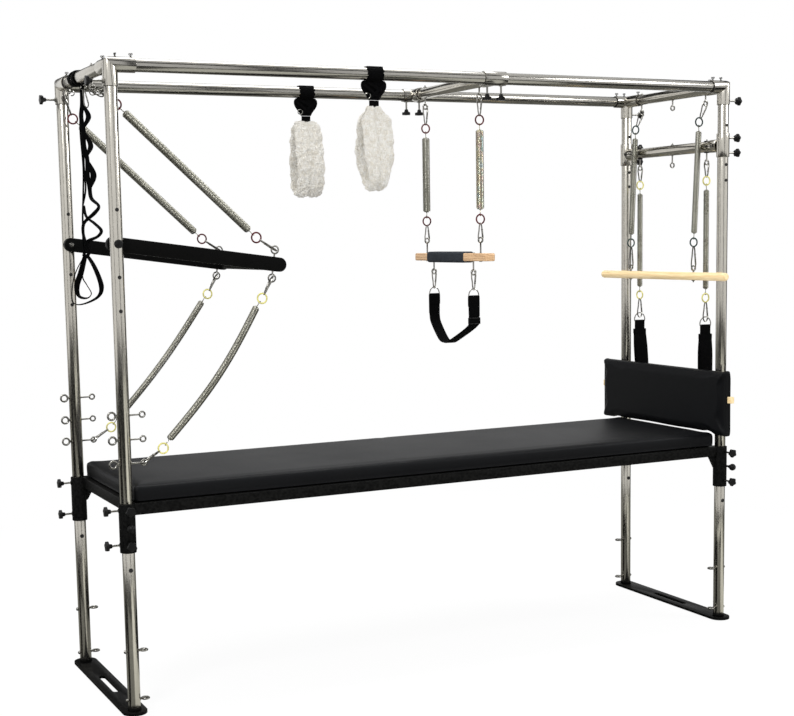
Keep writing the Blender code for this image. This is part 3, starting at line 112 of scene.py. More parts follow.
def rangeNode(tree, source, low, high, newLow=0.0, newHigh=1.0):
    node = tree.nodes.new("ShaderNodeMapRange")
    node.inputs["From Min"].default_value = low
    node.inputs["From Max"].default_value = high
    node.inputs["To Min"].default_value = newLow
    node.inputs["To Max"].default_value = newHigh
    tree.links.new(source, node.inputs["Value"])
    return node.outputs["Result"]


def mixNode(tree, share, first, second):
    node = tree.nodes.new("ShaderNodeMix")
    node.data_type = "RGBA"
    for socket, value in ((node.inputs[0], share), (node.inputs[6], first), (node.inputs[7], second)):
        if hasattr(value, "links"):
            tree.links.new(value, socket)
        elif isinstance(value, (tuple, list)):
            socket.default_value = (*value[:3], 1)
        else:
            socket.default_value = value
    return node.outputs[2]


def mathNode(tree, kind, first, second=None):
    node = tree.nodes.new("ShaderNodeMath")
    node.operation = kind
    for socket, value in zip(node.inputs, (first, second)):
        if value is None:
            continue
        if hasattr(value, "links"):
            tree.links.new(value, socket)
        else:
            socket.default_value = value
    return node.outputs[0]


def mottleGroup():
    # cloudy change between two colours, with a fine layer over a broad one
    group, entry, leave = newGroup(
        "mottle",
        (("Coords", "vector", None), ("Light", "color", (1, 1, 1, 1)), ("Dark", "color", (0, 0, 0, 1)),
         ("Broad", "value", 6.0), ("Fine", "value", 80.0), ("Spread", "value", 0.5)),
        (("Color", "color"), ("Height", "value"), ("Mask", "value")),
    )
    noises = []
    for label, detail in (("Broad", 3), ("Fine", 5)):
        noise = group.nodes.new("ShaderNodeTexNoise")
        noise.inputs["Detail"].default_value = detail
        group.links.new(entry.outputs["Coords"], noise.inputs["Vector"])
        group.links.new(entry.outputs[label], noise.inputs["Scale"])
        noises.append(rangeNode(group, noise.outputs["Fac"], 0.3, 0.7))
    fine = mathNode(group, "MULTIPLY", noises[1], entry.outputs["Spread"])
    rest = mathNode(group, "SUBTRACT", 1.0, entry.outputs["Spread"])
    broad = mathNode(group, "MULTIPLY", noises[0], rest)
    mask = mathNode(group, "ADD", fine, broad)
    color = mixNode(group, mask, entry.outputs["Dark"], entry.outputs["Light"])
    group.links.new(color, leave.inputs["Color"])
    group.links.new(noises[1], leave.inputs["Height"])
    group.links.new(mask, leave.inputs["Mask"])
    return group


def weaveGroup():
    # over-and-under threads on a strap's own UV map, in metres
    group, entry, leave = newGroup(
        "webWeave",
        (("Coords", "vector", None), ("Thread", "value", 900.0), ("Light", "color", (1, 1, 1, 1)),
         ("Dark", "color", (0, 0, 0, 1))),
        (("Color", "color"), ("Height", "value")),
    )
    waves = []
    for axis in ("X", "Y"):
        wave = group.nodes.new("ShaderNodeTexWave")
        wave.bands_direction = axis
        wave.inputs["Distortion"].default_value = 0.4
        group.links.new(entry.outputs["Coords"], wave.inputs["Vector"])
        scale = mathNode(group, "MULTIPLY", entry.outputs["Thread"], 0.32 if axis == "X" else 0.5)
        group.links.new(scale, wave.inputs["Scale"])
        waves.append(wave.outputs["Fac"])
    height = mathNode(group, "MULTIPLY", waves[0], waves[1])
    lift = mathNode(group, "ADD", mathNode(group, "MULTIPLY", waves[0], 0.45),
                    mathNode(group, "MULTIPLY", height, 0.55))
    color = mixNode(group, lift, entry.outputs["Dark"], entry.outputs["Light"])
    group.links.new(color, leave.inputs["Color"])
    group.links.new(lift, leave.inputs["Height"])
    return group


def grainGroup():
    # wood grain: long distorted bands with fine pores, along the axis that the coordinates are stretched on
    group, entry, leave = newGroup(
        "woodGrain",
        (("Coords", "vector", None), ("Light", "color", (1, 1, 1, 1)), ("Dark", "color", (0, 0, 0, 1)),
         ("Bands", "value", 12.0), ("Pores", "value", 300.0)),
        (("Color", "color"), ("Height", "value")),
    )
    wave = group.nodes.new("ShaderNodeTexWave")
    wave.wave_type = "RINGS"
    wave.rings_direction = "Y"
    wave.inputs["Distortion"].default_value = 9
    wave.inputs["Detail"].default_value = 3
    wave.inputs["Detail Scale"].default_value = 1.3
    pores = group.nodes.new("ShaderNodeTexNoise")
    pores.inputs["Detail"].default_value = 4
    for texture in (wave, pores):
        group.links.new(entry.outputs["Coords"], texture.inputs["Vector"])
    group.links.new(entry.outputs["Bands"], wave.inputs["Scale"])
    group.links.new(entry.outputs["Pores"], pores.inputs["Scale"])
    bands = mathNode(group, "MULTIPLY", wave.outputs["Fac"], 0.55)
    specks = mathNode(group, "MULTIPLY", rangeNode(group, pores.outputs["Fac"], 0.35, 0.65), 0.45)
    mask = mathNode(group, "ADD", bands, specks)
    group.links.new(mixNode(group, mask, entry.outputs["Dark"], entry.outputs["Light"]),
                    leave.inputs["Color"])
    group.links.new(mask, leave.inputs["Height"])
    return group


def wearGroup():
    # a mask of rubbed corners and edges, broken up by noise
    group, entry, leave = newGroup("edgeRub", (("Coords", "vector", None), ("Amount", "value", 0.5)),
                                   (("Mask", "value"),))
    shape = group.nodes.new("ShaderNodeNewGeometry")
    noise = group.nodes.new("ShaderNodeTexNoise")
    noise.inputs["Scale"].default_value = 120
    group.links.new(entry.outputs["Coords"], noise.inputs["Vector"])
    edge = rangeNode(group, shape.outputs["Pointiness"], 0.52, 0.60)
    broken = mathNode(group, "MULTIPLY", edge, rangeNode(group, noise.outputs["Fac"], 0.35, 0.62))
    group.links.new(mathNode(group, "MULTIPLY", broken, entry.outputs["Amount"]), leave.inputs["Mask"])
    return group


groups = {"mottle": mottleGroup(), "weave": weaveGroup(), "grain": grainGroup(), "wear": wearGroup()}


def addGroup(tree, kind, coords, **values):
    node = tree.nodes.new("ShaderNodeGroup")
    node.node_tree = groups[kind]
    tree.links.new(coords, node.inputs["Coords"])
    for label, value in values.items():
        node.inputs[label].default_value = (*value, 1) if isinstance(value, tuple) else value
    return node


def startFinish(name, coordKind="Object", stretch=(1, 1, 1), **fixed):
    material = bpy.data.materials.new(name)
    material.use_nodes = True
    tree = material.node_tree
    shader = tree.nodes["Principled BSDF"]
    for label, value in fixed.items():
        socket = shader.inputs[label.replace("_", " ")]
        socket.default_value = (*value, 1) if isinstance(value, tuple) else value
    coords = tree.nodes.new("ShaderNodeTexCoord")
    mapping = tree.nodes.new("ShaderNodeMapping")
    mapping.inputs["Scale"].default_value = stretch
    tree.links.new(coords.outputs[coordKind], mapping.inputs["Vector"])
    return material, tree, shader, mapping.outputs["Vector"]


def addBump(tree, shader, height, strength, distance):
    bump = tree.nodes.new("ShaderNodeBump")
    bump.inputs["Strength"].default_value = strength
    bump.inputs["Distance"].default_value = distance
    tree.links.new(height, bump.inputs["Height"])
    tree.links.new(bump.outputs["Normal"], shader.inputs["Normal"])


def mottledFinish(name, light, dark, rough, stretch=(1, 1, 1), broad=6.0, fine=80.0, spread=0.5, bump=0.1,
                  deep=0.0004, wear=None, **fixed):
    material, tree, shader, coords = startFinish(name, stretch=stretch, **fixed)
    mottle = addGroup(tree, "mottle", coords, Light=light, Dark=dark, Broad=broad, Fine=fine, Spread=spread)
    color, mask = mottle.outputs["Color"], mottle.outputs["Mask"]
    if wear:
        rub = addGroup(tree, "wear", coords, Amount=wear[1])
        color = mixNode(tree, rub.outputs["Mask"], color, wear[0])
    tree.links.new(color, shader.inputs["Base Color"])
    tree.links.new(rangeNode(tree, mask, 0, 1, *rough), shader.inputs["Roughness"])
    addBump(tree, shader, mottle.outputs["Height"], bump, deep)
    return material


def steelFinish(name, stretch, light=(0.66, 0.635, 0.575), dark=(0.50, 0.475, 0.42)):
    return mottledFinish(name, light, dark, (0.13, 0.24), stretch, broad=3.0, fine=160.0,
                         spread=0.35, bump=0.05, deep=0.0002, Metallic=1.0)


def webbingFinish(name, light, dark):
    material, tree, shader, coords = startFinish(name, "UV", Sheen_Weight=0.006, Sheen_Roughness=0.5,
                                                 Specular_IOR_Level=0.03)
    weave = addGroup(tree, "weave", coords, Thread=900.0, Light=light, Dark=dark)
    tree.links.new(weave.outputs["Color"], shader.inputs["Base Color"])
    tree.links.new(rangeNode(tree, weave.outputs["Height"], 0, 1, 0.92, 0.62), shader.inputs["Roughness"])
    addBump(tree, shader, weave.outputs["Height"], 0.5, 0.0006)
    return material


def woodFinish(name, light, dark, bands, rough):
    material, tree, shader, coords = startFinish(name, stretch=(1, 0.06, 1), Coat_Weight=0.15,
                                                 Coat_Roughness=0.3)
    grain = addGroup(tree, "grain", coords, Light=light, Dark=dark, Bands=bands, Pores=340.0)
    rub = addGroup(tree, "wear", coords, Amount=0.35)
    color = mixNode(tree, rub.outputs["Mask"], grain.outputs["Color"], tuple(min(1, c * 1.15) for c in light))
    tree.links.new(color, shader.inputs["Base Color"])
    tree.links.new(rangeNode(tree, grain.outputs["Height"], 0, 1, *rough), shader.inputs["Roughness"])
    addBump(tree, shader, grain.outputs["Height"], 0.15, 0.0004)
    return material


def vinylFinish():
    # pebbled upholstery vinyl
    material, tree, shader, coords = startFinish("padVinyl", Specular_IOR_Level=0.12)
    cells = tree.nodes.new("ShaderNodeTexVoronoi")
    cells.feature = "SMOOTH_F1"
    cells.inputs["Scale"].default_value = 620
    tree.links.new(coords, cells.inputs["Vector"])
    mottle = addGroup(tree, "mottle", coords, Light=(0.0042, 0.0046, 0.0056), Dark=(0.0020, 0.0022, 0.0028),
                      Broad=2.2, Fine=420.0, Spread=0.4)
    tree.links.new(mottle.outputs["Color"], shader.inputs["Base Color"])
    tree.links.new(rangeNode(tree, mottle.outputs["Mask"], 0, 1, 0.44, 0.56), shader.inputs["Roughness"])
    addBump(tree, shader, cells.outputs["Distance"], 0.22, 0.0005)
    return material


def rainbowFinish():
    # zinc passivation with oil-like tints that change along and round the coil
    material, tree, shader, coords = startFinish("rainbowWire", stretch=(1, 1, 0.35), Metallic=1.0)
    noise = tree.nodes.new("ShaderNodeTexNoise")
    noise.inputs["Scale"].default_value = 55
    noise.inputs["Detail"].default_value = 3
    tree.links.new(coords, noise.inputs["Vector"])
    ramp = tree.nodes.new("ShaderNodeValToRGB")
    tints = ((0.30, (0.46, 0.58, 0.66)), (0.42, (0.58, 0.62, 0.54)), (0.50, (0.66, 0.61, 0.42)),
             (0.58, (0.62, 0.49, 0.45)), (0.66, (0.48, 0.60, 0.48)), (0.74, (0.44, 0.52, 0.64)))
    for k, (place, tint) in enumerate(tints):
        stop = ramp.color_ramp.elements[k] if k < 2 else ramp.color_ramp.elements.new(place)
        stop.position = place
        stop.color = (*tint, 1)
    tree.links.new(noise.outputs["Fac"], ramp.inputs["Fac"])
    tree.links.new(ramp.outputs["Color"], shader.inputs["Base Color"])
    tree.links.new(rangeNode(tree, noise.outputs["Fac"], 0.3, 0.7, 0.15, 0.26), shader.inputs["Roughness"])
    return material


def fleeceFinish():
    material, tree, shader, coords = startFinish(
        "fleecePile", Sheen_Weight=0.35, Sheen_Roughness=0.6, Sheen_Tint=(1.0, 0.98, 0.93),
        Specular_IOR_Level=0.08)
    mottle = addGroup(tree, "mottle", coords, Light=(1.0, 1.0, 0.98), Dark=(0.66, 0.60, 0.48), Broad=60.0,
                      Fine=260.0, Spread=0.6)
    tree.links.new(mottle.outputs["Color"], shader.inputs["Base Color"])
    tree.links.new(rangeNode(tree, mottle.outputs["Mask"], 0, 1, 0.98, 0.86), shader.inputs["Roughness"])
    addBump(tree, shader, mottle.outputs["Height"], 1.0, 0.0060)
    return material


black = (0.0012, 0.0012, 0.0013)
finishes = {
    # the steel along X (rails, the sleeves and stubs along them, a knob nut) is a darker copy of the same
    # polished steel: painted shade for the darker reflections the rails show
    "steelXShaded": steelFinish("polishedSteelAlongShaded", (0.15, 1, 1), (0.47, 0.455, 0.42), (0.31, 0.30, 0.275)),
    "steelY": steelFinish("polishedSteelAcross", (1, 0.15, 1)),
    "steelZ": steelFinish("polishedSteelUpright", (1, 1, 0.15)),
    "bright": mottledFinish("brightPlating", (0.42, 0.41, 0.38), (0.14, 0.137, 0.125), (0.10, 0.22),
                            broad=40.0, fine=500.0, Metallic=1.0),
    "coil": mottledFinish("springWire", (0.46, 0.45, 0.39), (0.28, 0.275, 0.23), (0.24, 0.32), broad=9.0,
                          fine=300.0, spread=0.3, bump=0.05, Metallic=1.0),
    "rainbow": rainbowFinish(),
    "powder": mottledFinish("powderCoat", (0.0026, 0.0026, 0.0024), black, (0.40, 0.52), broad=14.0,
                            fine=900.0, spread=0.6, bump=0.22, deep=0.0003,
                            wear=((0.04, 0.04, 0.038), 0.3), Specular_IOR_Level=0.05),
    "plastic": mottledFinish("knobPlastic", (0.0060, 0.0060, 0.0062), black, (0.30, 0.46), broad=60.0,
                             fine=1200.0, bump=0.12, deep=0.0002, wear=((0.05, 0.05, 0.05), 0.4),
                             Specular_IOR_Level=0.16),
    "dark": mottledFinish("darkPlating", (0.090, 0.088, 0.080), (0.030, 0.030, 0.027), (0.24, 0.40),
                          broad=60.0, fine=600.0, Metallic=0.9),
    "red": mottledFinish("redRing", (0.130, 0.004, 0.010), (0.012, 0.002, 0.003), (0.26, 0.40), broad=60.0,
                         fine=500.0, spread=0.3, Metallic=0.1, Specular_IOR_Level=0.2),
    "yellow": mottledFinish("yellowRing", (0.86, 0.80, 0.30), (0.34, 0.31, 0.05), (0.30, 0.42), broad=60.0,
                            fine=500.0, spread=0.3, Metallic=0.15),
    "green": mottledFinish("greenRing", (0.010, 0.040, 0.034), (0.003, 0.008, 0.008), (0.26, 0.40),
                           broad=60.0, fine=500.0, spread=0.3, Metallic=0.1, Specular_IOR_Level=0.2),
    "vinyl": vinylFinish(),
    "foam": mottledFinish("gripFoam", (0.030, 0.036, 0.046), (0.012, 0.015, 0.020), (0.72, 0.9), broad=25.0,
                          fine=1400.0, spread=0.7, bump=0.35, deep=0.0005, Specular_IOR_Level=0.2),
    "webbing": webbingFinish("blackWebbing", (0.0030, 0.0030, 0.0034), (0.0005, 0.0005, 0.0006)),
    "beech": woodFinish("paleBeech", (0.86, 0.68, 0.40), (0.66, 0.47, 0.22), 22.0, (0.40, 0.52)),
    "oak": woodFinish("oakBar", (0.68, 0.45, 0.25), (0.36, 0.20, 0.09), 34.0, (0.36, 0.50)),
    "fleece": fleeceFinish(),
    # near black painted shade, for the insides of drilled holes and the gaps at sleeve mouths and ends
    "paintedShade": mottledFinish("holeShade", (0.010, 0.010, 0.010), (0.003, 0.003, 0.003), (0.7, 0.9)),
}


# modelling helpers
def pick(*objects):
    bpy.ops.object.select_all(action="DESELECT")
    for item in objects:
        item.select_set(True)
    bpy.context.view_layer.objects.active = objects[0]


def useModifier(item, kind, **values):
    pick(item)
    modifier = item.modifiers.new(kind, kind)
    for label, value in values.items():
        setattr(modifier, label, value)
    bpy.ops.object.modifier_apply(modifier=modifier.name)
    return item


def paint(item, finish):
    item.data.materials.clear()
    item.data.materials.append(finishes[finish])
    return item


def join(*pieces):
    pick(*pieces)
    if len(pieces) > 1:
        bpy.ops.object.join()
    return bpy.context.object


def faceOut(item):
    pick(item)
    bpy.ops.object.mode_set(mode="EDIT")
    bpy.ops.mesh.select_all(action="SELECT")
    bpy.ops.mesh.remove_doubles(threshold=0.000005)
    bpy.ops.mesh.normals_make_consistent(inside=False)
    bpy.ops.object.mode_set(mode="OBJECT")
    return item


def bake(item, smooth=38):
    # place, turn and size go into the mesh, and gentle edges are smoothed
    pick(item)
    bpy.ops.object.transform_apply(location=True, rotation=True, scale=True)
    bpy.ops.object.shade_smooth_by_angle(angle=math.radians(smooth))
    return item


def finish(pieces, name, body, slotName, nodes=(), smooth=38):
    for piece in pieces:
        pick(piece)
        bpy.ops.object.transform_apply(location=True, rotation=True, scale=True)
    item = join(*pieces)
    item.name = item.data.name = name
    bake(item, smooth)
    if body:
        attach(item, body)
    if nodes:
        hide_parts(*nodes)
    return item


def turned(direction):
    return Vector(direction).to_track_quat("Z", "Y").to_euler()


def copyTo(source, place, direction=(0, 0, 1), spin=0.0):
    item = source.copy()
    item.data = source.data.copy()
    scene.collection.objects.link(item)
    turn = Vector(direction).to_track_quat("Z", "Y").to_matrix().to_4x4()
    item.matrix_world = Matrix.Translation(place) @ turn @ Matrix.Rotation(spin, 4, "Z")
    return item


def solidRod(start, end, radius, finishName, corners=40, edge=0.0008):
    start, end = Vector(start), Vector(end)
    bpy.ops.object.select_all(action="DESELECT")
    bpy.ops.mesh.primitive_cylinder_add(vertices=corners, radius=radius, depth=(end - start).length,
                                        location=(start + end) / 2, rotation=turned(end - start))
    item = bpy.context.object
    if edge:
        useModifier(item, "BEVEL", width=edge, segments=2, limit_method="ANGLE", angle_limit=math.radians(50))
    return paint(item, finishName)


def tube(start, end, radius, wall, finishName, corners=56, edge=0.0006):
    # an open cylinder given its wall, then rims rounded over
    start, end = Vector(start), Vector(end)
    bpy.ops.object.select_all(action="DESELECT")
    bpy.ops.mesh.primitive_cylinder_add(vertices=corners, radius=radius, depth=(end - start).length,
                                        end_fill_type="NOTHING",
                                        location=(start + end) / 2, rotation=turned(end - start))
    item = bpy.context.object
    useModifier(item, "SOLIDIFY", thickness=wall, offset=-1)
    useModifier(item, "BEVEL", width=edge, segments=2, limit_method="ANGLE", angle_limit=math.radians(50))
    return paint(item, finishName)


def block(low, high, finishName, edge=0.002, segments=3):
    low, high = Vector(low), Vector(high)
    bpy.ops.object.select_all(action="DESELECT")
    bpy.ops.mesh.primitive_cube_add(size=1, location=(low + high) / 2)
    item = bpy.context.object
    item.scale = high - low
    bpy.ops.object.transform_apply(location=True, rotation=True, scale=True)
    useModifier(item, "BEVEL", width=edge, segments=segments, limit_method="ANGLE")
    return paint(item, finishName)


def torus(centre, normal, across, wire, finishName, around=40, section=10):
    bpy.ops.object.select_all(action="DESELECT")
    bpy.ops.mesh.primitive_torus_add(location=centre, rotation=turned(normal),
                                     major_radius=(across - wire) / 2,
                                     minor_radius=wire / 2, major_segments=around, minor_segments=section)
    return paint(bpy.context.object, finishName)


def lathe(profile, place, direction, finishName, corners=32):
    # a profile of (height, radius) turned round its own axis
    mesh = bpy.data.meshes.new("profile")
    mesh.from_pydata([(radius, 0, height) for height, radius in profile],
                     [(k, k + 1) for k in range(len(profile) - 1)], [])
    item = bpy.data.objects.new("profile", mesh)
    scene.collection.objects.link(item)
    useModifier(item, "SCREW", steps=corners, render_steps=corners, use_merge_vertices=True,
                merge_threshold=0.00001)
    faceOut(item)
    turn = Vector(direction).to_track_quat("Z", "Y").to_matrix().to_4x4()
    item.matrix_world = Matrix.Translation(place) @ turn
    return paint(item, finishName)


def wire(points, across, finishName, closed=False, smooth=5, section=2, kind="BEZIER"):
    # a round wire drawn as a curve, then made a mesh
    curve = bpy.data.curves.new("wire", "CURVE")
    curve.dimensions = "3D"
    curve.bevel_depth = across / 2
    curve.bevel_resolution = section
    curve.resolution_u = smooth
    curve.use_fill_caps = not closed
    spline = curve.splines.new(kind)
    if kind == "BEZIER":
        spline.bezier_points.add(len(points) - 1)
        for knot, point in zip(spline.bezier_points, points):
            knot.co = point
            knot.handle_left_type = knot.handle_right_type = "AUTO"
    else:
        spline.points.add(len(points) - 1)
        for knot, point in zip(spline.points, points):
            knot.co = (*point, 1)
    spline.use_cyclic_u = closed
    item = bpy.data.objects.new("wire", curve)
    scene.collection.objects.link(item)
    pick(item)
    bpy.ops.object.convert(target="MESH")
    item = bpy.context.object
    faceOut(item)
    return paint(item, finishName)


def smoothPath(points, steps=6, closed=False):
    # a flowing line through the points
    points = [Vector(p) for p in points]
    count = len(points)
    spans = count if closed else count - 1
    path = []
    for k in range(spans):
        here, ahead = points[k], points[(k + 1) % count]
        behind = points[k - 1] if closed or k else here * 2 - ahead
        beyond = points[(k + 2) % count] if closed or k + 2 < count else ahead * 2 - here
        for step in range(steps):
            share = step / steps
            straight = 2 * here + (ahead - behind) * share
            bent = (2 * behind - 5 * here + 4 * ahead - beyond) * share * share
            twisted = (3 * here - behind - 3 * ahead + beyond) * share ** 3
            path.append(0.5 * (straight + bent + twisted))
    if not closed:
        path.append(points[-1])
    return path


def webSection(width, thickness):
    # the flat outline of webbing, thinned towards its selvedges
    half, up = width / 2, thickness / 2
    shares = (-1, -0.93, -0.7, -0.35, 0, 0.35, 0.7, 0.93, 1)
    rise = (0.35, 0.85, 1, 1, 1, 1, 1, 0.85, 0.35)
    top = [(half * a, up * b) for a, b in zip(shares, rise)]
    return top + [(a, -b) for a, b in reversed(top)]


def roundSection(width, thickness, power=3.0, count=28):
    section = []
    for k in range(count):
        turn = 2 * math.pi * k / count
        side, rise = math.cos(turn), math.sin(turn)
        section.append((width / 2 * math.copysign(abs(side) ** (2 / power), side),
                        thickness / 2 * math.copysign(abs(rise) ** (2 / power), rise)))
    return section


def sweep(path, across, section, finishName, closed=False, sizes=None, shifts=None):
    # a section carried along a path, with a UV map in metres: U round it, V along it
    count, around = len(path), len(section)
    verts, along, girth = [], [0.0], [0.0]
    for k, point in enumerate(path):
        before = path[k - 1] if closed or k else point
        after = path[(k + 1) % count] if closed or k < count - 1 else point
        way = across[k] if isinstance(across, list) else across
        normal = (after - before).cross(way).normalized()
        wide, thick = sizes[k] if sizes else (1, 1)
        shift = shifts[k] if shifts else 0
        verts += [point + way * (a * wide) + normal * (n * thick + shift) for a, n in section]
        along.append(along[-1] + (path[(k + 1) % count] - point).length)
    for k in range(around):
        girth.append(girth[-1] + math.dist(section[k], section[(k + 1) % around]))
    faces, uvs = [], []
    for k in range(count if closed else count - 1):
        low, high = k * around, (k + 1) % count * around
        for j in range(around):
            nextOne = (j + 1) % around
            faces.append((low + j, low + nextOne, high + nextOne, high + j))
            uvs += [(girth[j], along[k]), (girth[j + 1], along[k]), (girth[j + 1], along[k + 1]),
                    (girth[j], along[k + 1])]
    if not closed:
        for face, v in ((tuple(range(around)), 0),
                        (tuple(reversed(range((count - 1) * around, count * around))), along[count - 1])):
            faces.append(face)
            uvs += [(girth[j % around], v) for j in face]
    mesh = bpy.data.meshes.new("strap")
    mesh.from_pydata(verts, [], faces)
    layer = mesh.uv_layers.new(name="UVMap")
    layer.data.foreach_set("uv", [value for pair in uvs for value in pair])
    item = bpy.data.objects.new("strap", mesh)
    scene.collection.objects.link(item)
    pick(item)
    bpy.ops.object.mode_set(mode="EDIT")
    bpy.ops.mesh.select_all(action="SELECT")
    bpy.ops.mesh.normals_make_consistent(inside=False)
    bpy.ops.object.mode_set(mode="OBJECT")
    return paint(item, finishName)


# parts used in many places, modelled once
print("knobs and bolts")
knob = {"across": 0.034, "thick": 0.0105, "lobe": 0.10, "hub": 0.011, "stud": 0.007, "ball": 0.027}


def makeStarHead():
    # the head's middle is at the origin, and its hub goes down Z
    bpy.ops.object.select_all(action="DESELECT")
    bpy.ops.mesh.primitive_cylinder_add(vertices=60, radius=knob["across"] / 2, depth=knob["thick"])
    head = bpy.context.object
    for vertex in head.data.vertices:
        turn = math.atan2(vertex.co.y, vertex.co.x)
        share = 1 - knob["lobe"] * (1 - math.cos(5 * turn))
        vertex.co.x *= share
        vertex.co.y *= share
    bpy.ops.object.mode_set(mode="EDIT")
    bpy.ops.mesh.select_all(action="DESELECT")
    bpy.ops.object.mode_set(mode="OBJECT")
    for face in head.data.polygons:
        face.select = abs(face.normal.z) > 0.9
    bpy.ops.object.mode_set(mode="EDIT")
    bpy.ops.mesh.select_mode(type="FACE")
    bpy.ops.mesh.inset(thickness=0.0035)
    bpy.ops.transform.resize(value=(1, 1, 1.12))
    bpy.ops.mesh.inset(thickness=0.004)
    bpy.ops.transform.resize(value=(1, 1, 0.93))
    bpy.ops.object.mode_set(mode="OBJECT")
    useModifier(head, "BEVEL", width=0.0016, segments=3, limit_method="ANGLE", angle_limit=math.radians(50))
    paint(head, "plastic")
    low = -knob["thick"] / 2
    hub = lathe(((low + 0.001, 0), (low + 0.001, 0.0122), (low - 0.0012, 0.0098), (low - 0.004, 0.0078),
                 (low - knob["hub"] * 0.85, 0.0070),
                 (low - knob["hub"], 0.0062), (low - knob["hub"], 0)), (0, 0, 0), (0, 0, 1), "plastic", 28)
    return bake(join(head, hub))


def makeHexNut():
    bpy.ops.object.select_all(action="DESELECT")
    bpy.ops.mesh.primitive_cylinder_add(vertices=6, radius=0.5, depth=1, location=(0, 0, 0.5))
    nut = bpy.context.object
    useModifier(nut, "BEVEL", width=0.05, segments=2, limit_method="ANGLE", angle_limit=math.radians(40))
    return paint(nut, "bright")


def makeWingScrew():
    # a small thumb screw: washer, neck and a two-eared head
    parts = [
        lathe(((0, 0), (0, 0.0048), (0.0012, 0.0048), (0.0012, 0.0026), (0.0060, 0.0024), (0.0070, 0)),
              (0, 0, 0), (0, 0, 1), "dark", 20),
        torus((0, 0.0034, 0.0100), (1, 0, 0), 0.0074, 0.0024, "dark", 16, 8),
        torus((0, -0.0034, 0.0100), (1, 0, 0), 0.0074, 0.0024, "dark", 16, 8),
    ]
    for part in parts:
        bake(part)
    return join(*parts)


starHead, hexNut, wingScrew = makeStarHead(), makeHexNut(), makeWingScrew()


def starKnob(surface, direction, reach, inside=0.002):
    # reach is from the surface to the head's middle
    surface, direction = Vector(surface), Vector(direction)
    head = copyTo(starHead, surface + direction * reach, direction, spin=reach * 40)
    neck = surface + direction * (reach - knob["thick"] / 2 - knob["hub"] + 0.001)
    stud = solidRod(surface - direction * inside, neck, knob["stud"] / 2, "bright", 18, 0)
    return [head, stud]


def ballKnob(surface, direction, reach, inside=0.002):
    radius = knob["ball"] / 2
    surface, direction = Vector(surface), Vector(direction)
    profile = [(-inside, 0), (-inside, 0.004), (reach - radius - 0.006, 0.004),
               (reach - radius - 0.006, 0.0065), (reach - radius + 0.001, 0.0072)]
    for k in range(3, 16):
        turn = math.pi * (1 - k / 16)
        profile.append((reach + radius * math.cos(turn), radius * math.sin(turn)))
    profile.append((reach + radius, 0))
    return lathe(profile, surface, direction, "plastic", 32)


def nut(surface, direction, across, tall, finishName="bright"):
    item = copyTo(hexNut, surface, direction)
    item.scale = (across, across, tall)
    return paint(item, finishName)


def eyeBolt(surface, direction, drop, across=0.024, thick=0.006, normal=(0, 1, 0), through=0.0,
            nutSize=0.014, nutFinish="bright"):
    # an eye, its collar and shank, and a nut on the far side if it goes through a tube
    surface, direction = Vector(surface), Vector(direction)
    neck = drop - (across - thick) / 2
    parts = [
        torus(surface + direction * drop, normal, across, thick, "bright"),
        lathe(((-0.001, 0), (-0.001, thick * 0.75), (0.0016, thick * 0.75), (0.0016, thick / 2),
               (neck - 0.001, thick / 2 * 0.95),
               (neck + 0.0015, thick * 0.62), (neck + 0.003, 0)), surface, direction, "bright", 20),
    ]
    if through:
        far = surface - direction * through
        parts.append(nut(far, -direction, nutSize, 0.0055, nutFinish))
        parts.append(solidRod(far, far - direction * 0.0085, thick / 2 * 0.85, "bright", 14, 0.0005))
        if nutFinish != "bright":
            parts.append(nut(surface, direction, nutSize, 0.0055, nutFinish))
    return parts


def snapHook(start, end, side=(0, 1, 0), wide=0.024, thick=0.0052):
    # a pear-shaped snap hook with its gate, from the thing it grips at start to the eye at end
    start, end = Vector(start), Vector(end)
    line = end - start
    length = line.length + thick
    along = line.normalized()
    start = start - along * thick / 2
    cross = (Vector(side) - along * along.dot(Vector(side))).normalized()
    half = (wide - thick) / 2
    outline = ((1.0, 0.0), (0.93, -0.72), (0.76, -1.0), (0.42, -0.68), (0.12, -0.38), (0.01, 0.0),
               (0.10, 0.40), (0.42, 0.70), (0.76, 1.0), (0.93, 0.72))
    points = [start + along * (length * a) + cross * (half * b) for a, b in outline]
    body = wire(points, thick, "bright", closed=True, smooth=4, section=2)
    hinge = start + along * (length * 0.34) + cross * (half * 0.66)
    tip = start + along * (length * 0.78) + cross * (half * 1.02)
    gate = solidRod(hinge, tip, thick * 0.62, "bright", 12, 0.0006)
    barrel = solidRod(hinge - cross.cross(along) * thick * 0.7, hinge + cross.cross(along) * thick * 0.7,
                      thick * 0.5, "bright", 12, 0.0004)
    return [body, gate, barrel]


# legs, posts, rails and cross tubes
print("steel tubes")
holes = {"left": (1.327, 1.435, 1.649), "right": (1.955, 1.805, 1.745), "leg": 0.483, "legRadius": 0.0068,
         "postRadius": 0.0056}
upright = {"legLow": 0.0103, "legHigh": 0.625, "postLow": 0.630, "postHigh": 2.0786,
           "legEyes": (0.044, 0.208), "postEyes": (0.832, 0.910, 0.990)}
tubeEye = {"across": 0.031, "thick": 0.007, "shortDrop": 0.0175, "longDrop": 0.042}


def rimmedHole(x, y, z, radius, way=(0, -1, 0)):
    # a drilled hole: a well painted near black as painted shade inside it, with a fine bright lip, set in the
    # tube's face
    surface = Vector((x, y, z)) + Vector(way) * (tubeRadius - 0.0006)
    well = lathe(((-0.004, 0), (-0.004, radius * 0.94), (0.0007, radius), (0.0009, radius * 0.97),
                  (0.0009, 0)), surface, way, "paintedShade", 22)
    lip = torus(surface + Vector(way) * 0.0004, way, 2 * radius + 0.0016, 0.0011, "dark", 24, 6)
    return [well, lip]


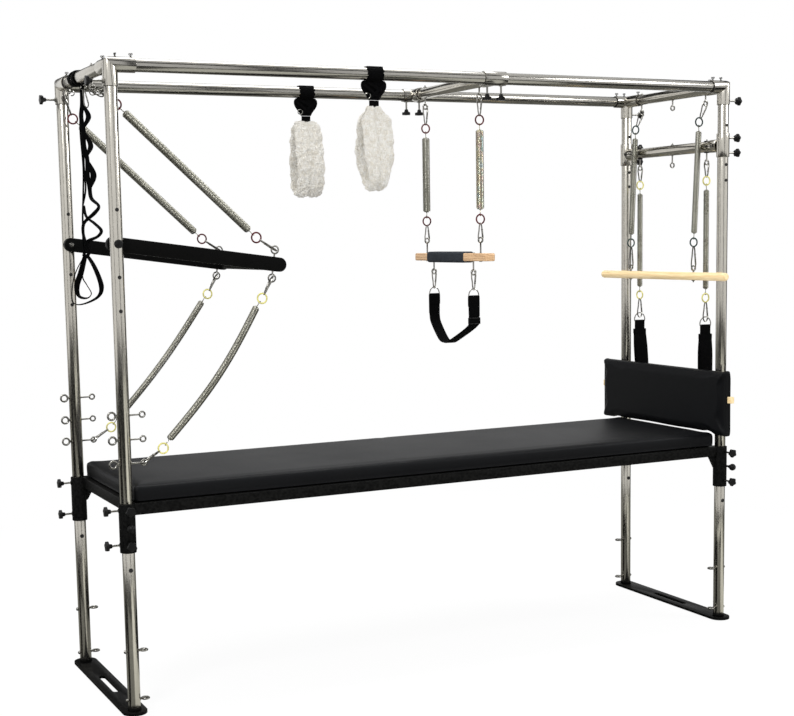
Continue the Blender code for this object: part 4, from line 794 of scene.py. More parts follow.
def makeLeg(end, xSign, side, ySign):
    x, y = xSign * postX, ySign * postY
    parts = [tube((x, y, upright["legLow"]), (x, y, upright["legHigh"]), tubeRadius, table["tubeWall"],
                  "steelZ")]
    for z in upright["legEyes"]:
        parts += eyeBolt((x - xSign * tubeRadius, y, z), (-xSign, 0, 0), tubeEye["shortDrop"],
                         tubeEye["across"], tubeEye["thick"], (0, 0, 1))
        parts.append(lathe(((0, 0), (0, 0.0062), (0.004, 0.0062), (0.0072, 0.0044), (0.0086, 0)),
                           (x + xSign * (tubeRadius - 0.0006), y, z), (xSign, 0, 0), "bright", 20))
    parts += rimmedHole(x, y, holes["leg"], holes["legRadius"])
    parts.append(tube((x, y, upright["legLow"]), (x, y, 0.0190), tubeRadius + 0.0016, 0.0015, "powder"))
    finish(parts, f"{end}{side.capitalize()}Leg", "frame", "polished_steel", [f"leg_{end}_{side}"])


def makePost(end, xSign, side, ySign):
    x, y = xSign * postX, ySign * postY
    parts = [tube((x, y, upright["postLow"]), (x, y, upright["postHigh"]), tubeRadius, table["tubeWall"],
                  "steelZ")]
    for z in (holes["left"] if xSign < 0 else holes["right"]):
        parts += rimmedHole(x, y, z, holes["postRadius"])
    if xSign < 0:
        for z in upright["postEyes"]:
            parts += eyeBolt((x - tubeRadius, y, z), (-1, 0, 0), tubeEye["shortDrop"], tubeEye["across"],
                             tubeEye["thick"])
            parts += eyeBolt((x + tubeRadius, y, z), (1, 0, 0), tubeEye["longDrop"])
    finish(parts, f"{end}{side.capitalize()}Post", "frame", "polished_steel", [f"post_{end}_{side}"])


for endName, endSign in ends:
    for sideName, sideSign in sides:
        makeLeg(endName, endSign, sideName, sideSign)
        makePost(endName, endSign, sideName, sideSign)

railEnd = 1.1866
for sideName, sideSign in sides:
    rail = tube((-railEnd, sideSign * postY, topZ), (railEnd, sideSign * postY, topZ), tubeRadius,
                table["tubeWall"], "steelXShaded")
    finish([rail], sideName + "TopRail", "frame", "polished_steel", ["top_rail_" + sideName])

foot = {"long": 0.726, "wide": 0.082, "thick": 0.010, "slotLong": 0.205, "slotWide": 0.022}


def stadium(long, wide, tall, place):
    # a short cylinder pulled out along Y
    bpy.ops.object.select_all(action="DESELECT")
    bpy.ops.mesh.primitive_cylinder_add(vertices=64, radius=wide / 2, depth=tall, location=place)
    item = bpy.context.object
    for vertex in item.data.vertices:
        vertex.co.y += math.copysign((long - wide) / 2, vertex.co.y)
    return item


for endName, endSign in ends:
    plate = stadium(foot["long"], foot["wide"], foot["thick"], (endSign * postX, 0, foot["thick"] / 2))
    slotCut = stadium(foot["slotLong"], foot["slotWide"], foot["thick"] * 3,
                      (endSign * postX, 0, foot["thick"] / 2))
    useModifier(plate, "BOOLEAN", object=slotCut, operation="DIFFERENCE", solver="EXACT")
    bpy.data.objects.remove(slotCut)
    useModifier(plate, "BEVEL", width=0.0012, segments=3, limit_method="ANGLE", angle_limit=math.radians(50))
    finish([paint(plate, "powder")], endName + "FootPlate", "frame", "black_powder_coat",
           ["foot_plate_" + endName])


def crossTube(name, x, z, reach, eyes, body, node, drop, nutFinish="bright", nutSize=0.014):
    parts = [tube((x, -reach, z), (x, reach, z), tubeRadius, table["tubeWall"], "steelY")]
    for y in eyes:
        outer = abs(y) > 0.1
        parts += eyeBolt((x, y, z - tubeRadius), (0, 0, -1), drop, through=2 * tubeRadius,
                         nutSize=nutSize if outer else 0.012, nutFinish=nutFinish if outer else "bright")
    return finish(parts, name, body, "polished_steel", [node])


eyeY = {"roll": 0.210, "trapeze": 0.211, "strap": 0.22, "sling": 0.156, "spare": -0.1}
crossBar = {"fixedReach": 0.2946, "slideReach": 0.293, "eyeDrop": 0.031, "longDrop": 0.039, "bigNut": 0.022}
reach, drop = crossBar["fixedReach"], crossBar["eyeDrop"]
crossTube("leftCrossTube", -postX, topZ, reach, (eyeY["spare"],), "frame", "top_cross_tube_left", drop)
crossTube("rightCrossTube", postX, topZ, reach, (-eyeY["roll"], 0, eyeY["roll"]), "frame",
          "top_cross_tube_right", drop)
reach = crossBar["slideReach"]
crossTube("slideBarTube", table["slideX"], topZ, reach, (-eyeY["trapeze"], eyeY["trapeze"]), "slide_bar",
          "slide_bar_tube", drop)
crossTube("heightBarTube", postX, table["heightBarZ"], reach, (-eyeY["strap"], 0, eyeY["strap"]),
          "height_bar", "height_bar_tube", crossBar["longDrop"], "plastic", crossBar["bigNut"])


# corner fittings, mitred from three sleeves
print("corner fittings")
corner = {"radius": 0.0245, "stubLeft": 0.080, "stubRight": 0.060, "across": 0.095, "drop": 0.067,
          "knobDrop": 0.052, "knobReach": 0.074}


def makeCorner(end, xSign, side, ySign):
    middle = Vector((xSign * postX, ySign * postY, topZ))
    inward = (Vector((-xSign, 0, 0)), Vector((0, -ySign, 0)), Vector((0, 0, -1)))
    reaches = (corner["stubLeft"] if xSign < 0 else corner["stubRight"], corner["across"], corner["drop"])
    radius = corner["radius"]
    parts = []
    for k, (way, reach) in enumerate(zip(inward, reaches)):
        sleeve = solidRod(middle - way * radius, middle + way * reach, radius,
                          ("steelXShaded", "steelY", "steelZ")[k], 64, 0)
        bake(sleeve)
        bpy.ops.object.mode_set(mode="EDIT")
        for other in (inward[k - 1], inward[k - 2]):
            bpy.ops.mesh.select_all(action="SELECT")
            bpy.ops.mesh.bisect(plane_co=middle, plane_no=(other - way).normalized(), use_fill=True,
                                clear_outer=True)
        bpy.ops.object.mode_set(mode="OBJECT")
        useModifier(sleeve, "BEVEL", width=0.0009, segments=2, limit_method="ANGLE",
                    angle_limit=math.radians(60))
        parts.append(sleeve)
        # a dark ring of painted shade where the tube goes into the sleeve's mouth
        seam = middle + way * (reach - 0.0008)
        parts.append(torus(seam, way, 2 * tubeRadius + 0.0050, 0.0040, "paintedShade", 48, 6))
    # thumb screws on top: two on the stub along the rail, and one on the stub across
    for way, reach in zip(inward[:2], reaches[:2]):
        for share in (0.22, 0.86):
            if way is inward[1] and share < 0.5:
                continue
            parts.append(copyTo(wingScrew, middle + way * reach * share + zAxis * (radius - 0.0008),
                                (0, 0, 1), spin=1.1 * share))
    outward = -inward[0]
    knobSurface = middle + outward * radius - zAxis * corner["knobDrop"]
    parts.append(nut(knobSurface, outward, 0.016, 0.005, "steelXShaded"))
    if xSign < 0:
        parts += eyeBolt((middle.x, ySign * armY, topZ - radius), (0, 0, -1), 0.0225)
    finish(parts, f"{end}{side.capitalize()}Corner", "frame", "polished_steel", [f"corner_{end}_{side}"])
    head = starKnob(knobSurface, outward, corner["knobReach"] - radius)
    finish(head, f"{end}{side.capitalize()}CornerKnob", "frame", "black_plastic")


for endName, endSign in ends:
    for sideName, sideSign in sides:
        makeCorner(endName, endSign, sideName, sideSign)


# sliding sleeves and their clamp knobs
print("sleeves")
sleeve = {"radius": 0.025, "wall": 0.0036, "long": 0.090, "stub": 0.075, "pitch": 0.057, "reach": 0.070}


def makeSleeve(name, centre, along, inward, knobWay, body, node):
    centre, along, inward, knobWay = (Vector(v) for v in (centre, along, inward, knobWay))
    half = along * sleeve["long"] / 2
    runFinish = "steelXShaded" if abs(along.x) > 0.5 else "steelZ"
    # the dark rings at the stub's mouth and at both ends of the run are painted shade in the gaps round the
    # tube
    mouth = centre + inward * (sleeve["stub"] - 0.0008)
    parts = [
        tube(centre - half, centre + half, sleeve["radius"], sleeve["wall"], runFinish, 64),
        tube(centre + inward * (tubeRadius + 0.001), centre + inward * sleeve["stub"], sleeve["radius"],
             sleeve["wall"], "steelY", 64),
        torus(mouth, inward, 2 * tubeRadius + 0.0034, 0.0028, "paintedShade", 48, 6),
    ]
    for sign in (-1, 1):
        rim = centre + half * sign * 0.985
        parts.append(torus(rim, along, 2 * tubeRadius + 0.0034, 0.0028, "paintedShade", 48, 6))
    for shift in (-sleeve["pitch"] / 2, sleeve["pitch"] / 2):
        seat = centre + along * shift + knobWay * (sleeve["radius"] - 0.0012)
        parts.append(nut(seat, knobWay, 0.0165, 0.0050, "bright"))
    for share in (0.45, 0.9) if body == "height_bar" else ():
        parts.append(copyTo(wingScrew, centre + inward * sleeve["stub"] * share
                            - knobWay * (sleeve["radius"] - 0.0008), -knobWay, spin=share))
    finish(parts, name, body, "polished_steel", [node])


def makeClampKnobs(name, nodeName, centre, along, knobWay):
    centre, along, knobWay = Vector(centre), Vector(along), Vector(knobWay)
    for number, shift in ((1, -sleeve["pitch"] / 2), (2, sleeve["pitch"] / 2)):
        surface = centre + along * shift + knobWay * sleeve["radius"]
        node = f"{nodeName}_{number}"
        finish(starKnob(surface, knobWay, sleeve["reach"] - sleeve["radius"], 0.0036),
               f"{name}Knob{number}", node, "black_plastic", [node])


for sideName, sideSign in sides:
    spot = (table["slideX"], sideSign * postY, topZ)
    makeSleeve(sideName + "SlideSleeve", spot, (1, 0, 0), (0, -sideSign, 0), (0, 0, -1), "slide_bar",
               "slide_bar_sleeve_" + sideName)
    makeClampKnobs(sideName + "Slide", "slide_bar_knob_" + sideName, spot, (1, 0, 0), (0, 0, -1))
    spot = (postX, sideSign * postY, table["heightBarZ"])
    makeSleeve(sideName + "HeightSleeve", spot, (0, 0, 1), (0, -sideSign, 0), (1, 0, 0), "height_bar",
               "height_bar_sleeve_" + sideName)
    makeClampKnobs(sideName + "Height", "height_bar_knob_" + sideName, spot, (0, 0, 1), (1, 0, 0))


# the bed's black frame
print("bed frame")
bed = {
    "railLow": 0.662, "railWide": 0.040, "railY": 0.310, "endX": 1.180, "crossX": 0.3933, "wall": 0.002,
    "socketRadius": 0.027, "socketLow": 0.540, "socketWall": 0.0056,
    "gussetDrop": 0.052, "gussetLong": 0.033, "gussetThick": 0.005,
    "knobDrops": (0.020, 0.134), "ballDrop": 0.075,
    "reachLeft": 0.047, "reachRight": 0.077, "reachEnd": 0.070,
}


def gusset(x, y, way):
    way = Vector(way)
    start = bed["socketRadius"] - 0.0028
    spots = ((start, 0.001), (start, -bed["gussetDrop"]),
             (bed["socketRadius"] + 0.006, -bed["gussetDrop"] + 0.004),
             (bed["socketRadius"] + bed["gussetLong"], 0.001))
    mesh = bpy.data.meshes.new("gusset")
    mesh.from_pydata([Vector((x, y, bed["railLow"])) + way * a + zAxis * up for a, up in spots], [],
                     [(0, 1, 2, 3)])
    item = bpy.data.objects.new("gusset", mesh)
    scene.collection.objects.link(item)
    useModifier(item, "SOLIDIFY", thickness=bed["gussetThick"], offset=0)
    useModifier(item, "BEVEL", width=0.0008, segments=2, limit_method="ANGLE")
    return paint(faceOut(item), "powder")


def makeBedFrame():
    half, low = bed["railWide"] / 2, bed["railLow"]
    parts, knobParts = [], []
    for sign in (-1, 1):
        y = sign * bed["railY"]
        parts.append(block((-postX, y - half, low), (postX, y + half, bedTop), "powder", 0.0025))
    reach = bed["railY"] - half + 0.002
    for x in (-bed["endX"], -bed["crossX"], bed["crossX"], bed["endX"]):
        parts.append(block((x - half, -reach, low), (x + half, reach, bedTop), "powder", 0.0025))
    for _, xSign in ends:
        for _, ySign in sides:
            x, y = xSign * postX, ySign * postY
            parts.append(tube((x, y, bed["socketLow"]), (x, y, bedTop), bed["socketRadius"],
                              bed["socketWall"], "powder", 64, 0.0012))
            parts.append(gusset(x, y, (-xSign, 0, 0) if xSign != ySign else (0, -ySign, 0)))
            ways = [((0, ySign, 0), bed["reachLeft"] if xSign < 0 else bed["reachRight"])]
            if xSign < 0:
                ways.append(((-1, 0, 0), bed["reachEnd"]))
            for way, fromAxis in ways:
                for drop in bed["knobDrops"]:
                    surface = Vector((x, y, bedTop - drop)) + Vector(way) * bed["socketRadius"]
                    parts.append(nut(surface - Vector(way) * 0.0012, way, 0.0165, 0.0050, "powder"))
                    knobParts += starKnob(surface, way, fromAxis - bed["socketRadius"])
            way, fromAxis = ways[0]
            surface = Vector((x, y, bedTop - bed["ballDrop"])) + Vector(way) * bed["socketRadius"]
            knobParts.append(ballKnob(surface, way, fromAxis - bed["socketRadius"]))
    finish(parts, "bedFrame", "frame", "black_powder_coat", ["bed_frame"])
    finish(knobParts, "bedKnobs", "frame", "black_plastic")


makeBedFrame()


# push-through bar
print("push bar")
push = {"reach": 0.5735, "slope": math.radians(7.93), "tall": 0.048, "thick": 0.026, "tube": 0.040,
        "eyeInset": 0.0195, "eyeDrop": 0.024}
armWay = Vector((math.cos(push["slope"]), 0, -math.sin(push["slope"])))
armUp = Vector((math.sin(push["slope"]), 0, math.cos(push["slope"])))


def pushPoint(along, y, up):
    return Vector((-postX, y, table["pivotZ"])) + armWay * along + armUp * up


def makePushBar():
    turn = Matrix((armWay, yAxis, armUp)).transposed().to_4x4()
    parts = []
    for ySign in (-1, 1):
        middle = pushPoint(push["reach"] / 2, ySign * armY, 0)
        bpy.ops.object.select_all(action="DESELECT")
        bpy.ops.mesh.primitive_cylinder_add(vertices=48, radius=push["tall"] / 2, depth=push["thick"],
                                            rotation=(math.pi / 2, 0, 0))
        arm = bpy.context.object
        bpy.ops.object.transform_apply(location=True, rotation=True, scale=True)
        for vertex in arm.data.vertices:
            vertex.co.x += math.copysign(push["reach"] / 2, vertex.co.x)
        useModifier(arm, "BEVEL", width=0.0022, segments=3, limit_method="ANGLE",
                    angle_limit=math.radians(50))
        arm.matrix_world = Matrix.Translation(middle) @ turn
        parts.append(paint(arm, "powder"))
        for zSign in (-1, 1):
            surface = pushPoint(push["reach"] - push["eyeInset"], ySign * armY, zSign * push["tall"] / 2)
            parts += eyeBolt(surface, armUp * zSign, push["eyeDrop"], 0.031, 0.0056)
    far = armY - push["thick"] / 2 + 0.002
    parts.append(tube(pushPoint(push["reach"], -far, 0), pushPoint(push["reach"], far, 0), push["tube"] / 2,
                      table["tubeWall"], "powder"))
    finish(parts, "pushBar", "push_bar", "black_powder_coat", ["push_bar"])
    for side, ySign in sides:
        way = Vector((0, ySign, 0))
        place = Vector((-postX, 0, table["pivotZ"]))
        head = postY + tubeRadius + 0.0003
        inner = armY - push["thick"] / 2 - 0.0003
        parts = [
            solidRod(place + way * (inner - 0.010), place + way * head, 0.0058, "bright", 24, 0.0006),
            nut(place + way * inner, -way, 0.015, 0.007),
            lathe(((0, 0), (0, 0.014), (0.007, 0.014), (0.0105, 0.0115), (0.012, 0.006), (0.012, 0)),
                  place + way * head, way, "plastic", 36),
            solidRod(place + way * (inner + 0.0001), place + way * (inner - 0.0014), 0.0105,
                     "plastic", 28, 0.0004),
        ]
        finish(parts, side + "PivotBolt", "frame", "black_plastic", ["pivot_bolt_" + side])


makePushBar()


# coil springs
print("springs")
# diameters, then the push springs' hooks and rings, then the heights of the other springs' eyes and rings
spring = {
    "push": 0.0275, "lowPush": 0.025, "trapeze": 0.030, "roll": 0.024, "strap": 0.023,
    "pushReach": 0.554, "pushRise": 0.048, "topHook": 2.055, "frontBow": -0.021, "rearBow": -0.013,
    "topRing": (0.026, 0, -0.073), "upperRing": (-0.0655, 0, 0.042),
    "footRing": (0.067, 0, 0.041), "lowerRing": (-0.037, 0, -0.067), "footX": -1.147,
    "trapezeSpots": (topEyeZ, 1.966, 1.608, 1.532), "strapSpots": (1.820, 1.748, 1.286, 1.198),
    "rollSpots": ((postX, topEyeZ), (1.179, 1.977), (1.157, 1.507), (1.157, 1.405)),
}
springWire = {"across": 0.0032, "pitch": 0.00338, "ring": 0.039, "ringWire": 0.0056, "fromRing": 0.034,
              "pointsPerTurn": 12, "taper": 2.2}


def coilPoints(start, end, across, bow):
    # tight turns that draw in to the axis over the last few
    line = end - start
    axis = line.normalized()
    first = (yAxis - axis * axis.dot(yAxis)).normalized()
    second = axis.cross(first)
    turns = round(line.length / springWire["pitch"])
    steps = turns * springWire["pointsPerTurn"]
    radius = (across - springWire["across"]) / 2
    points = []
    for k in range(steps + 1):
        turn = 2 * math.pi * k / springWire["pointsPerTurn"]
        near = min(k, steps - k) / springWire["pointsPerTurn"] / springWire["taper"]
        reach = radius * (math.sin(min(1, near) * math.pi / 2) ** 0.8 if near > 0 else 0)
        sag = second * bow * math.sin(math.pi * k / steps)
        points.append(start + line * (k / steps)
                      + (first * math.cos(turn) + second * math.sin(turn)) * reach + sag)
    return points


def endHook(centre, way):
    # the wire's own hook over a ring: centre is the ring's, way points to the coil
    grip = centre + way * ((springWire["ring"] - springWire["ringWire"]) / 2)
    radius = springWire["ringWire"] / 2 + springWire["across"] / 2 + 0.0003
    points = []
    for k in range(9):
        turn = math.radians(-60 + k * 30)
        points.append(grip - way * (radius * math.cos(turn)) + yAxis * (radius * math.sin(turn)))
    return points


def makeSpring(name, spots, across, bodies, ringFinish, coilFinish, node, bow=0.0, hookSide=(0, 1, 0),
               hookWide=0.024, ringWays=((0, 1, 0), (0, 1, 0))):
    # spots are the first eye, the two ring centres and the last eye; bodies are what the two eyes ride on
    firstEye, firstRing, lastRing, lastEye = (Vector(spot) for spot in spots)
    line = (lastRing - firstRing).normalized()
    begin, stop = firstRing + line * springWire["fromRing"], lastRing - line * springWire["fromRing"]
    coil = coilPoints(begin, stop, across, bow)
    stem = springWire["ring"] / 2 + 0.002
    points = endHook(firstRing, line) + [firstRing + line * stem] + coil
    points += [lastRing - line * stem] + endHook(lastRing, -line)[::-1]
    body = wire(points, springWire["across"], coilFinish, smooth=1, section=1, kind="POLY")
    body = finish([body], name + "Coil", None, "zinc_spring", [node], 60)
    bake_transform(body)
    grip = (springWire["ring"] - springWire["ringWire"]) / 2
    for label, ringSpot, eye, rider, ringWay in (("Start", firstRing, firstEye, bodies[0], ringWays[0]),
                                                 ("End", lastRing, lastEye, bodies[1], ringWays[1])):
        way = (eye - ringSpot).normalized()
        parts = [torus(ringSpot, ringWay, springWire["ring"], springWire["ringWire"], ringFinish, 36, 10)]
        parts += snapHook(ringSpot + way * grip, eye + way * 0.004, hookSide, hookWide)
        finish(parts, f"{name}{label}", rider, "zinc_spring", [node])


def makeSprings():
    for side, ySign in sides:
        top = Vector((-postX, ySign * armY, spring["topHook"]))
        upper = pushPoint(spring["pushReach"], ySign * armY, spring["pushRise"])
        lower = pushPoint(spring["pushReach"], ySign * armY, -spring["pushRise"])
        makeSpring(side + "UpperPush", (top, top + Vector(spring["topRing"]),
                                        upper + Vector(spring["upperRing"]), upper),
                   spring["push"], ("frame", "push_bar"), "red", "coil", "upper_push_spring_" + side)
        low = Vector((spring["footX"], ySign * postY, upright["postEyes"][0]))
        makeSpring(side + "LowerPush", (low, low + Vector(spring["footRing"]),
                                        lower + Vector(spring["lowerRing"]), lower),
                   spring["lowPush"], ("frame", "push_bar"), "yellow", "coil", "lower_push_spring_" + side,
                   bow=spring["frontBow"] if ySign < 0 else spring["rearBow"])
        x = table["slideX"]
        makeSpring(side + "Trapeze", [(x, ySign * eyeY["trapeze"], z) for z in spring["trapezeSpots"]],
                   spring["trapeze"], ("trapeze_springs", "trapeze_bar"), "red",
                   "rainbow" if ySign < 0 else "coil", "trapeze_spring_" + side, hookSide=(1, 0, 0))
        makeSpring(side + "RollDown", [(x, ySign * eyeY["roll"], z) for x, z in spring["rollSpots"]],
                   spring["roll"], ("roll_down_springs", "roll_down_bar"), "green", "coil",
                   "roll_down_spring_" + side, hookSide=(1, 0, 0), hookWide=0.026,
                   ringWays=((0, 1, 0), (0.97, 0.25, 0)) if ySign < 0 else ((0.97, 0.25, 0), (0, 1, 0)))
        makeSpring(side + "Strap", [(postX, ySign * eyeY["strap"], z) for z in spring["strapSpots"]],
                   spring["strap"], ("strap_spring_" + side, "strap_loop_" + side), "yellow", "coil",
                   "strap_spring_" + side, hookSide=(1, 0, 0), hookWide=0.027,
                   ringWays=((0, 1, 0), (0, 1, 0)) if ySign < 0 else ((0, 1, 0), (0.98, 0.2, 0)))


makeSprings()


# wooden bars and the grip
print("bars")
bar = {"z": 1.469, "low": -0.280, "high": 0.276, "tall": 0.029, "deep": 0.044, "round": 0.008,
       "gripLow": -0.119, "gripHigh": 0.169, "gripThick": 0.0062, "eyeRise": 0.0485, "slingDrop": 0.0415}


def makeTrapezeBar():
    x, z, half = table["slideX"], bar["z"], bar["tall"] / 2
    wood = block((x - bar["deep"] / 2, bar["low"], z - half), (x + bar["deep"] / 2, bar["high"], z + half),
                 "oak", bar["round"] * 0.7, 4)
    parts = [wood]
    for ySign in (-1, 1):
        parts += eyeBolt((x, ySign * eyeY["trapeze"], z + half), (0, 0, 1), bar["eyeRise"])
        parts += eyeBolt((x, ySign * eyeY["sling"], z - half), (0, 0, -1), bar["slingDrop"])
        parts.append(nut((x, ySign * eyeY["trapeze"], z - half), (0, 0, -1), 0.012, 0.005))
        parts.append(nut((x, ySign * eyeY["sling"], z + half), (0, 0, 1), 0.012, 0.005))
    finish(parts, "trapezeBar", "trapeze_bar", "oak", ["trapeze_bar"])
    grow = bar["gripThick"]
    foam = block((x - bar["deep"] / 2 - grow, bar["gripLow"], z - half - grow),
                 (x + bar["deep"] / 2 + grow, bar["gripHigh"], z + half + grow), "foam", 0.011, 5)
    finish([foam], "barGrip", "trapeze_bar", "grip_foam", ["trapeze_grip"])


makeTrapezeBar()

rollBar = {"x": 1.157, "z": 1.373, "radius": 0.016, "half": 0.415,
           "end": ((0, 0), (0.0005, 0.006), (0.003, 0.0112), (0.0075, 0.0148), (0.013, 0.016))}


def makeRollBar():
    x, z, radius = rollBar["x"], rollBar["z"], rollBar["radius"]
    # both ends are rounded by the same steps back from the tip
    end = [(rollBar["half"] - back, wide) for back, wide in rollBar["end"]]
    parts = [lathe((*[(-height, wide) for height, wide in end], *reversed(end)),
                   (x, 0, z), (0, 1, 0), "beech", 48)]
    for ySign in (-1, 1):
        parts += eyeBolt((x, ySign * eyeY["roll"], z + radius), (0, 0, 1), 0.016)
        parts.append(nut((x, ySign * eyeY["roll"], z - radius + 0.001), (0, 0, -1), 0.014, 0.006, "dark"))
        parts.append(solidRod((x, ySign * eyeY["roll"], z - radius),
                              (x, ySign * eyeY["roll"], z - radius - 0.008), 0.0028, "bright", 14, 0.0005))
    finish(parts, "rollDownBar", "roll_down_bar", "beech", ["roll_down_bar"])


makeRollBar()


# mattress and back pad, puffed by a short cloth run
print("padding")
mattress = {"low": (-1.186, -0.319, 0.7003), "high": (1.187, 0.319, 0.7558), "edge": 0.014,
            "halfWide": 0.320, "top": 0.7565}
backPad = {"low": (1.1515, -0.416, 0.7562), "high": (1.1868, 0.416, 1.0085), "edge": 0.012,
           "frontX": 1.1470, "halfWide": 0.420, "top": 1.0125}
batten = {"low": (1.1690, -0.430, 0.8825), "high": (1.1870, 0.430, 0.9075)}
padding = {"voxelMat": 0.0085, "voxelPad": 0.0065, "pressure": 4.0, "frames": 20, "capMat": 0.005,
           "capPad": 0.006}


def easeUp(share):
    share = min(1.0, max(0.0, share))
    return share * share * (3 - 2 * share)


def puff(item, voxel, cap, floorTest):
    # swells a closed pad under pressure; the points that floorTest names stay where they are
    useModifier(item, "REMESH", mode="VOXEL", voxel_size=voxel)
    start = [vertex.co.copy() for vertex in item.data.vertices]
    held = item.vertex_groups.new(name="held")
    held.add([k for k, point in enumerate(start) if floorTest(point)], 1.0, "REPLACE")
    pick(item)
    cloth = item.modifiers.new("swell", "CLOTH")
    settings = cloth.settings
    settings.use_pressure = True
    settings.uniform_pressure_force = padding["pressure"]
    settings.effector_weights.gravity = 0
    settings.vertex_group_mass = "held"
    settings.tension_stiffness = settings.compression_stiffness = 30
    settings.bending_stiffness = 2
    cloth.collision_settings.use_collision = False
    for number in range(1, padding["frames"] + 1):
        scene.frame_set(number)
    bpy.ops.object.modifier_apply(modifier="swell")
    scene.frame_set(1)
    for vertex, origin in zip(item.data.vertices, start):
        move = vertex.co - origin
        if move.length > cap:
            vertex.co = origin + move.normalized() * cap
    item.vertex_groups.clear()
    return item


def makeMattress():
    body = block(mattress["low"], mattress["high"], "vinyl", mattress["edge"], 5)
    puff(body, padding["voxelMat"], padding["capMat"], lambda point: point.z < 0.705)
    for vertex in body.data.vertices:
        point = vertex.co
        if point.z > 0.73:
            # one shallow diagonal crease near the middle, and a slightly uneven top
            off = point.x + 0.09 - point.y * 0.35
            point.z -= 0.0028 * math.exp(-(off / 0.014) ** 2) * (0.4 + 0.6 * math.cos(point.y * 6) ** 2)
            point.z += 0.0010 * math.sin(point.x * 7.1 + 1) * math.cos(point.y * 5.3)
        endX = mattress["high"][0]
        point.x = min(max(point.x, -endX), endX)
        point.y = min(max(point.y, -mattress["halfWide"]), mattress["halfWide"])
        point.z = min(max(point.z, mattress["low"][2]), mattress["top"])
        # the top is a little lower where the back pad stands on it
        if point.x > 1.150:
            point.z = min(point.z, 0.7560)
    useModifier(body, "SMOOTH", factor=0.5, iterations=2)
    body = finish([paint(body, "vinyl")], "mattress", "frame", "black_vinyl", ["mattress"], 60)


def makeBackPad():
    body = block(backPad["low"], backPad["high"], "vinyl", backPad["edge"], 5)
    foot, backX = backPad["low"][2], backPad["high"][0]
    puff(body, padding["voxelPad"], padding["capPad"], lambda point: point.x > 1.1835)
    for vertex in body.data.vertices:
        point = vertex.co
        point.x = min(max(point.x, backPad["frontX"]), backX)
        point.y = min(max(point.y, -backPad["halfWide"]), backPad["halfWide"])
        point.z = min(max(point.z, foot), backPad["top"])
        # the lower edge rests on the mattress, droops past its sides, and is drawn up a little near one end
        low = max(0.0, 1 - (point.z - foot) / 0.050)
        past = easeUp((abs(point.y) - 0.322) / 0.030)
        drawnUp = 0.005 * math.exp(-((point.y + 0.300) / 0.020) ** 2)
        lift = 0.0008 * math.sin(point.y * 21) + drawnUp - 0.008 * past - 0.004 * low
        point.z += low ** 0.7 * lift
        if abs(point.y) < 0.322:
            point.z = max(point.z, foot)
        # a small pinched fold stands up at the top of the near end
        ear = math.exp(-((point.y + 0.410) / 0.012) ** 2 - ((point.z - 1.004) / 0.016) ** 2)
        point.x -= 0.0030 * ear
        point.z += 0.0050 * ear
    useModifier(body, "SUBSURF", levels=1, render_levels=1)
    body = finish([paint(body, "vinyl")], "backPad", "frame", "black_vinyl", ["back_pad"], 60)
    strip = block(batten["low"], batten["high"], "beech", 0.002, 3)
    finish([strip], "padBatten", "frame", "beech", ["pad_batten"])


makeMattress()
makeBackPad()


# webbing
print("webbing")


def stitches(start, end, normal, count):
    # a row of short thread stitches lying on webbing
    start, end, normal = Vector(start), Vector(end), Vector(normal)
    parts = []
    for k in range(count):
        share = (k + 0.5) / count
        half = (end - start) / count * 0.34
        spot = start.lerp(end, share)
        parts.append(wire([spot - half - normal * 0.0006, spot + normal * 0.0002,
                           spot + half - normal * 0.0006], 0.0011, "webbing", smooth=2, section=0))
    return parts


# widths, the heights of rings, hooks, stitches and adjuster, and the web's route as (y, z)
sling = {
    "web": 0.0455, "ring": 0.047, "ringFlat": 1.322, "ringMiddle": 1.326, "hook": (1.350, 1.417),
    "stitchRows": (1.300, 1.262), "adjuster": (1.243, 1.222), "adjusterY": -0.158, "adjusterReach": 0.0245,
    "route": ((0.156, 1.316), (0.1562, 1.270), (0.156, 1.242), (0.144, 1.212), (0.085, 1.154), (0.045, 1.142),
              (0.005, 1.150), (-0.144, 1.212), (-0.156, 1.242), (-0.1562, 1.270), (-0.156, 1.316)),
}


def makeSling():
    x, ringZ, flatZ = table["slideX"], sling["ringMiddle"], sling["ringFlat"]
    parts = []
    for ySign in (-1, 1):
        half = (sling["ring"] - 0.005) / 2
        y = ySign * eyeY["sling"]
        outline = [(x + half * 0.92, y, flatZ), (x, y, flatZ - 0.0005), (x - half * 0.92, y, flatZ)]
        for k in range(9):
            turn = math.pi * (1 - k / 8)
            outline.append((x + half * math.cos(turn), y, ringZ + 0.026 * math.sin(turn)))
        parts.append(wire(outline, 0.0042, "bright", closed=True, smooth=4, section=2))
        parts += snapHook(*((x, y, z) for z in sling["hook"]), side=(1, 0, 0), wide=0.022)
        # the web's turned-over end with its stitching
        fold = smoothPath([(x, y - ySign * 0.0035, 1.286), (x, y - ySign * 0.0040, 1.310),
                           (x, y - ySign * 0.0030, 1.3235), (x, y, 1.3265),
                           (x, y + ySign * 0.0030, 1.3235), (x, y + ySign * 0.0040, 1.310),
                           (x, y + ySign * 0.0035, 1.250)], 5)
        parts.append(sweep(fold, xAxis, webSection(sling["web"], 0.0026), "webbing"))
        for z in sling["stitchRows"]:
            parts += stitches((x - 0.019, y + ySign * 0.0052, z), (x + 0.019, y + ySign * 0.0052, z),
                              (0, ySign, 0), 12)
    knots = [(x, y, z) for y, z in sling["route"]]
    parts.append(sweep(smoothPath(knots, 7), xAxis, webSection(sling["web"], 0.0034), "webbing"))
    # the slide adjuster on the front strap
    y, reach, (high, low) = sling["adjusterY"], sling["adjusterReach"], sling["adjuster"]
    for z in (high, low):
        parts.append(solidRod((x - reach, y, z), (x + reach, y, z), 0.0021, "plastic", 14, 0.0006))
    for sign in (-1, 1):
        barX = x + sign * (reach - 0.0005)
        parts.append(solidRod((barX, y, high + 0.0015), (barX, y, low - 0.0015), 0.0021,
                              "plastic", 14, 0.0006))
    finish(parts, "trapezeSling", "sling", "black_webbing", ["trapeze_sling"])


makeSling()


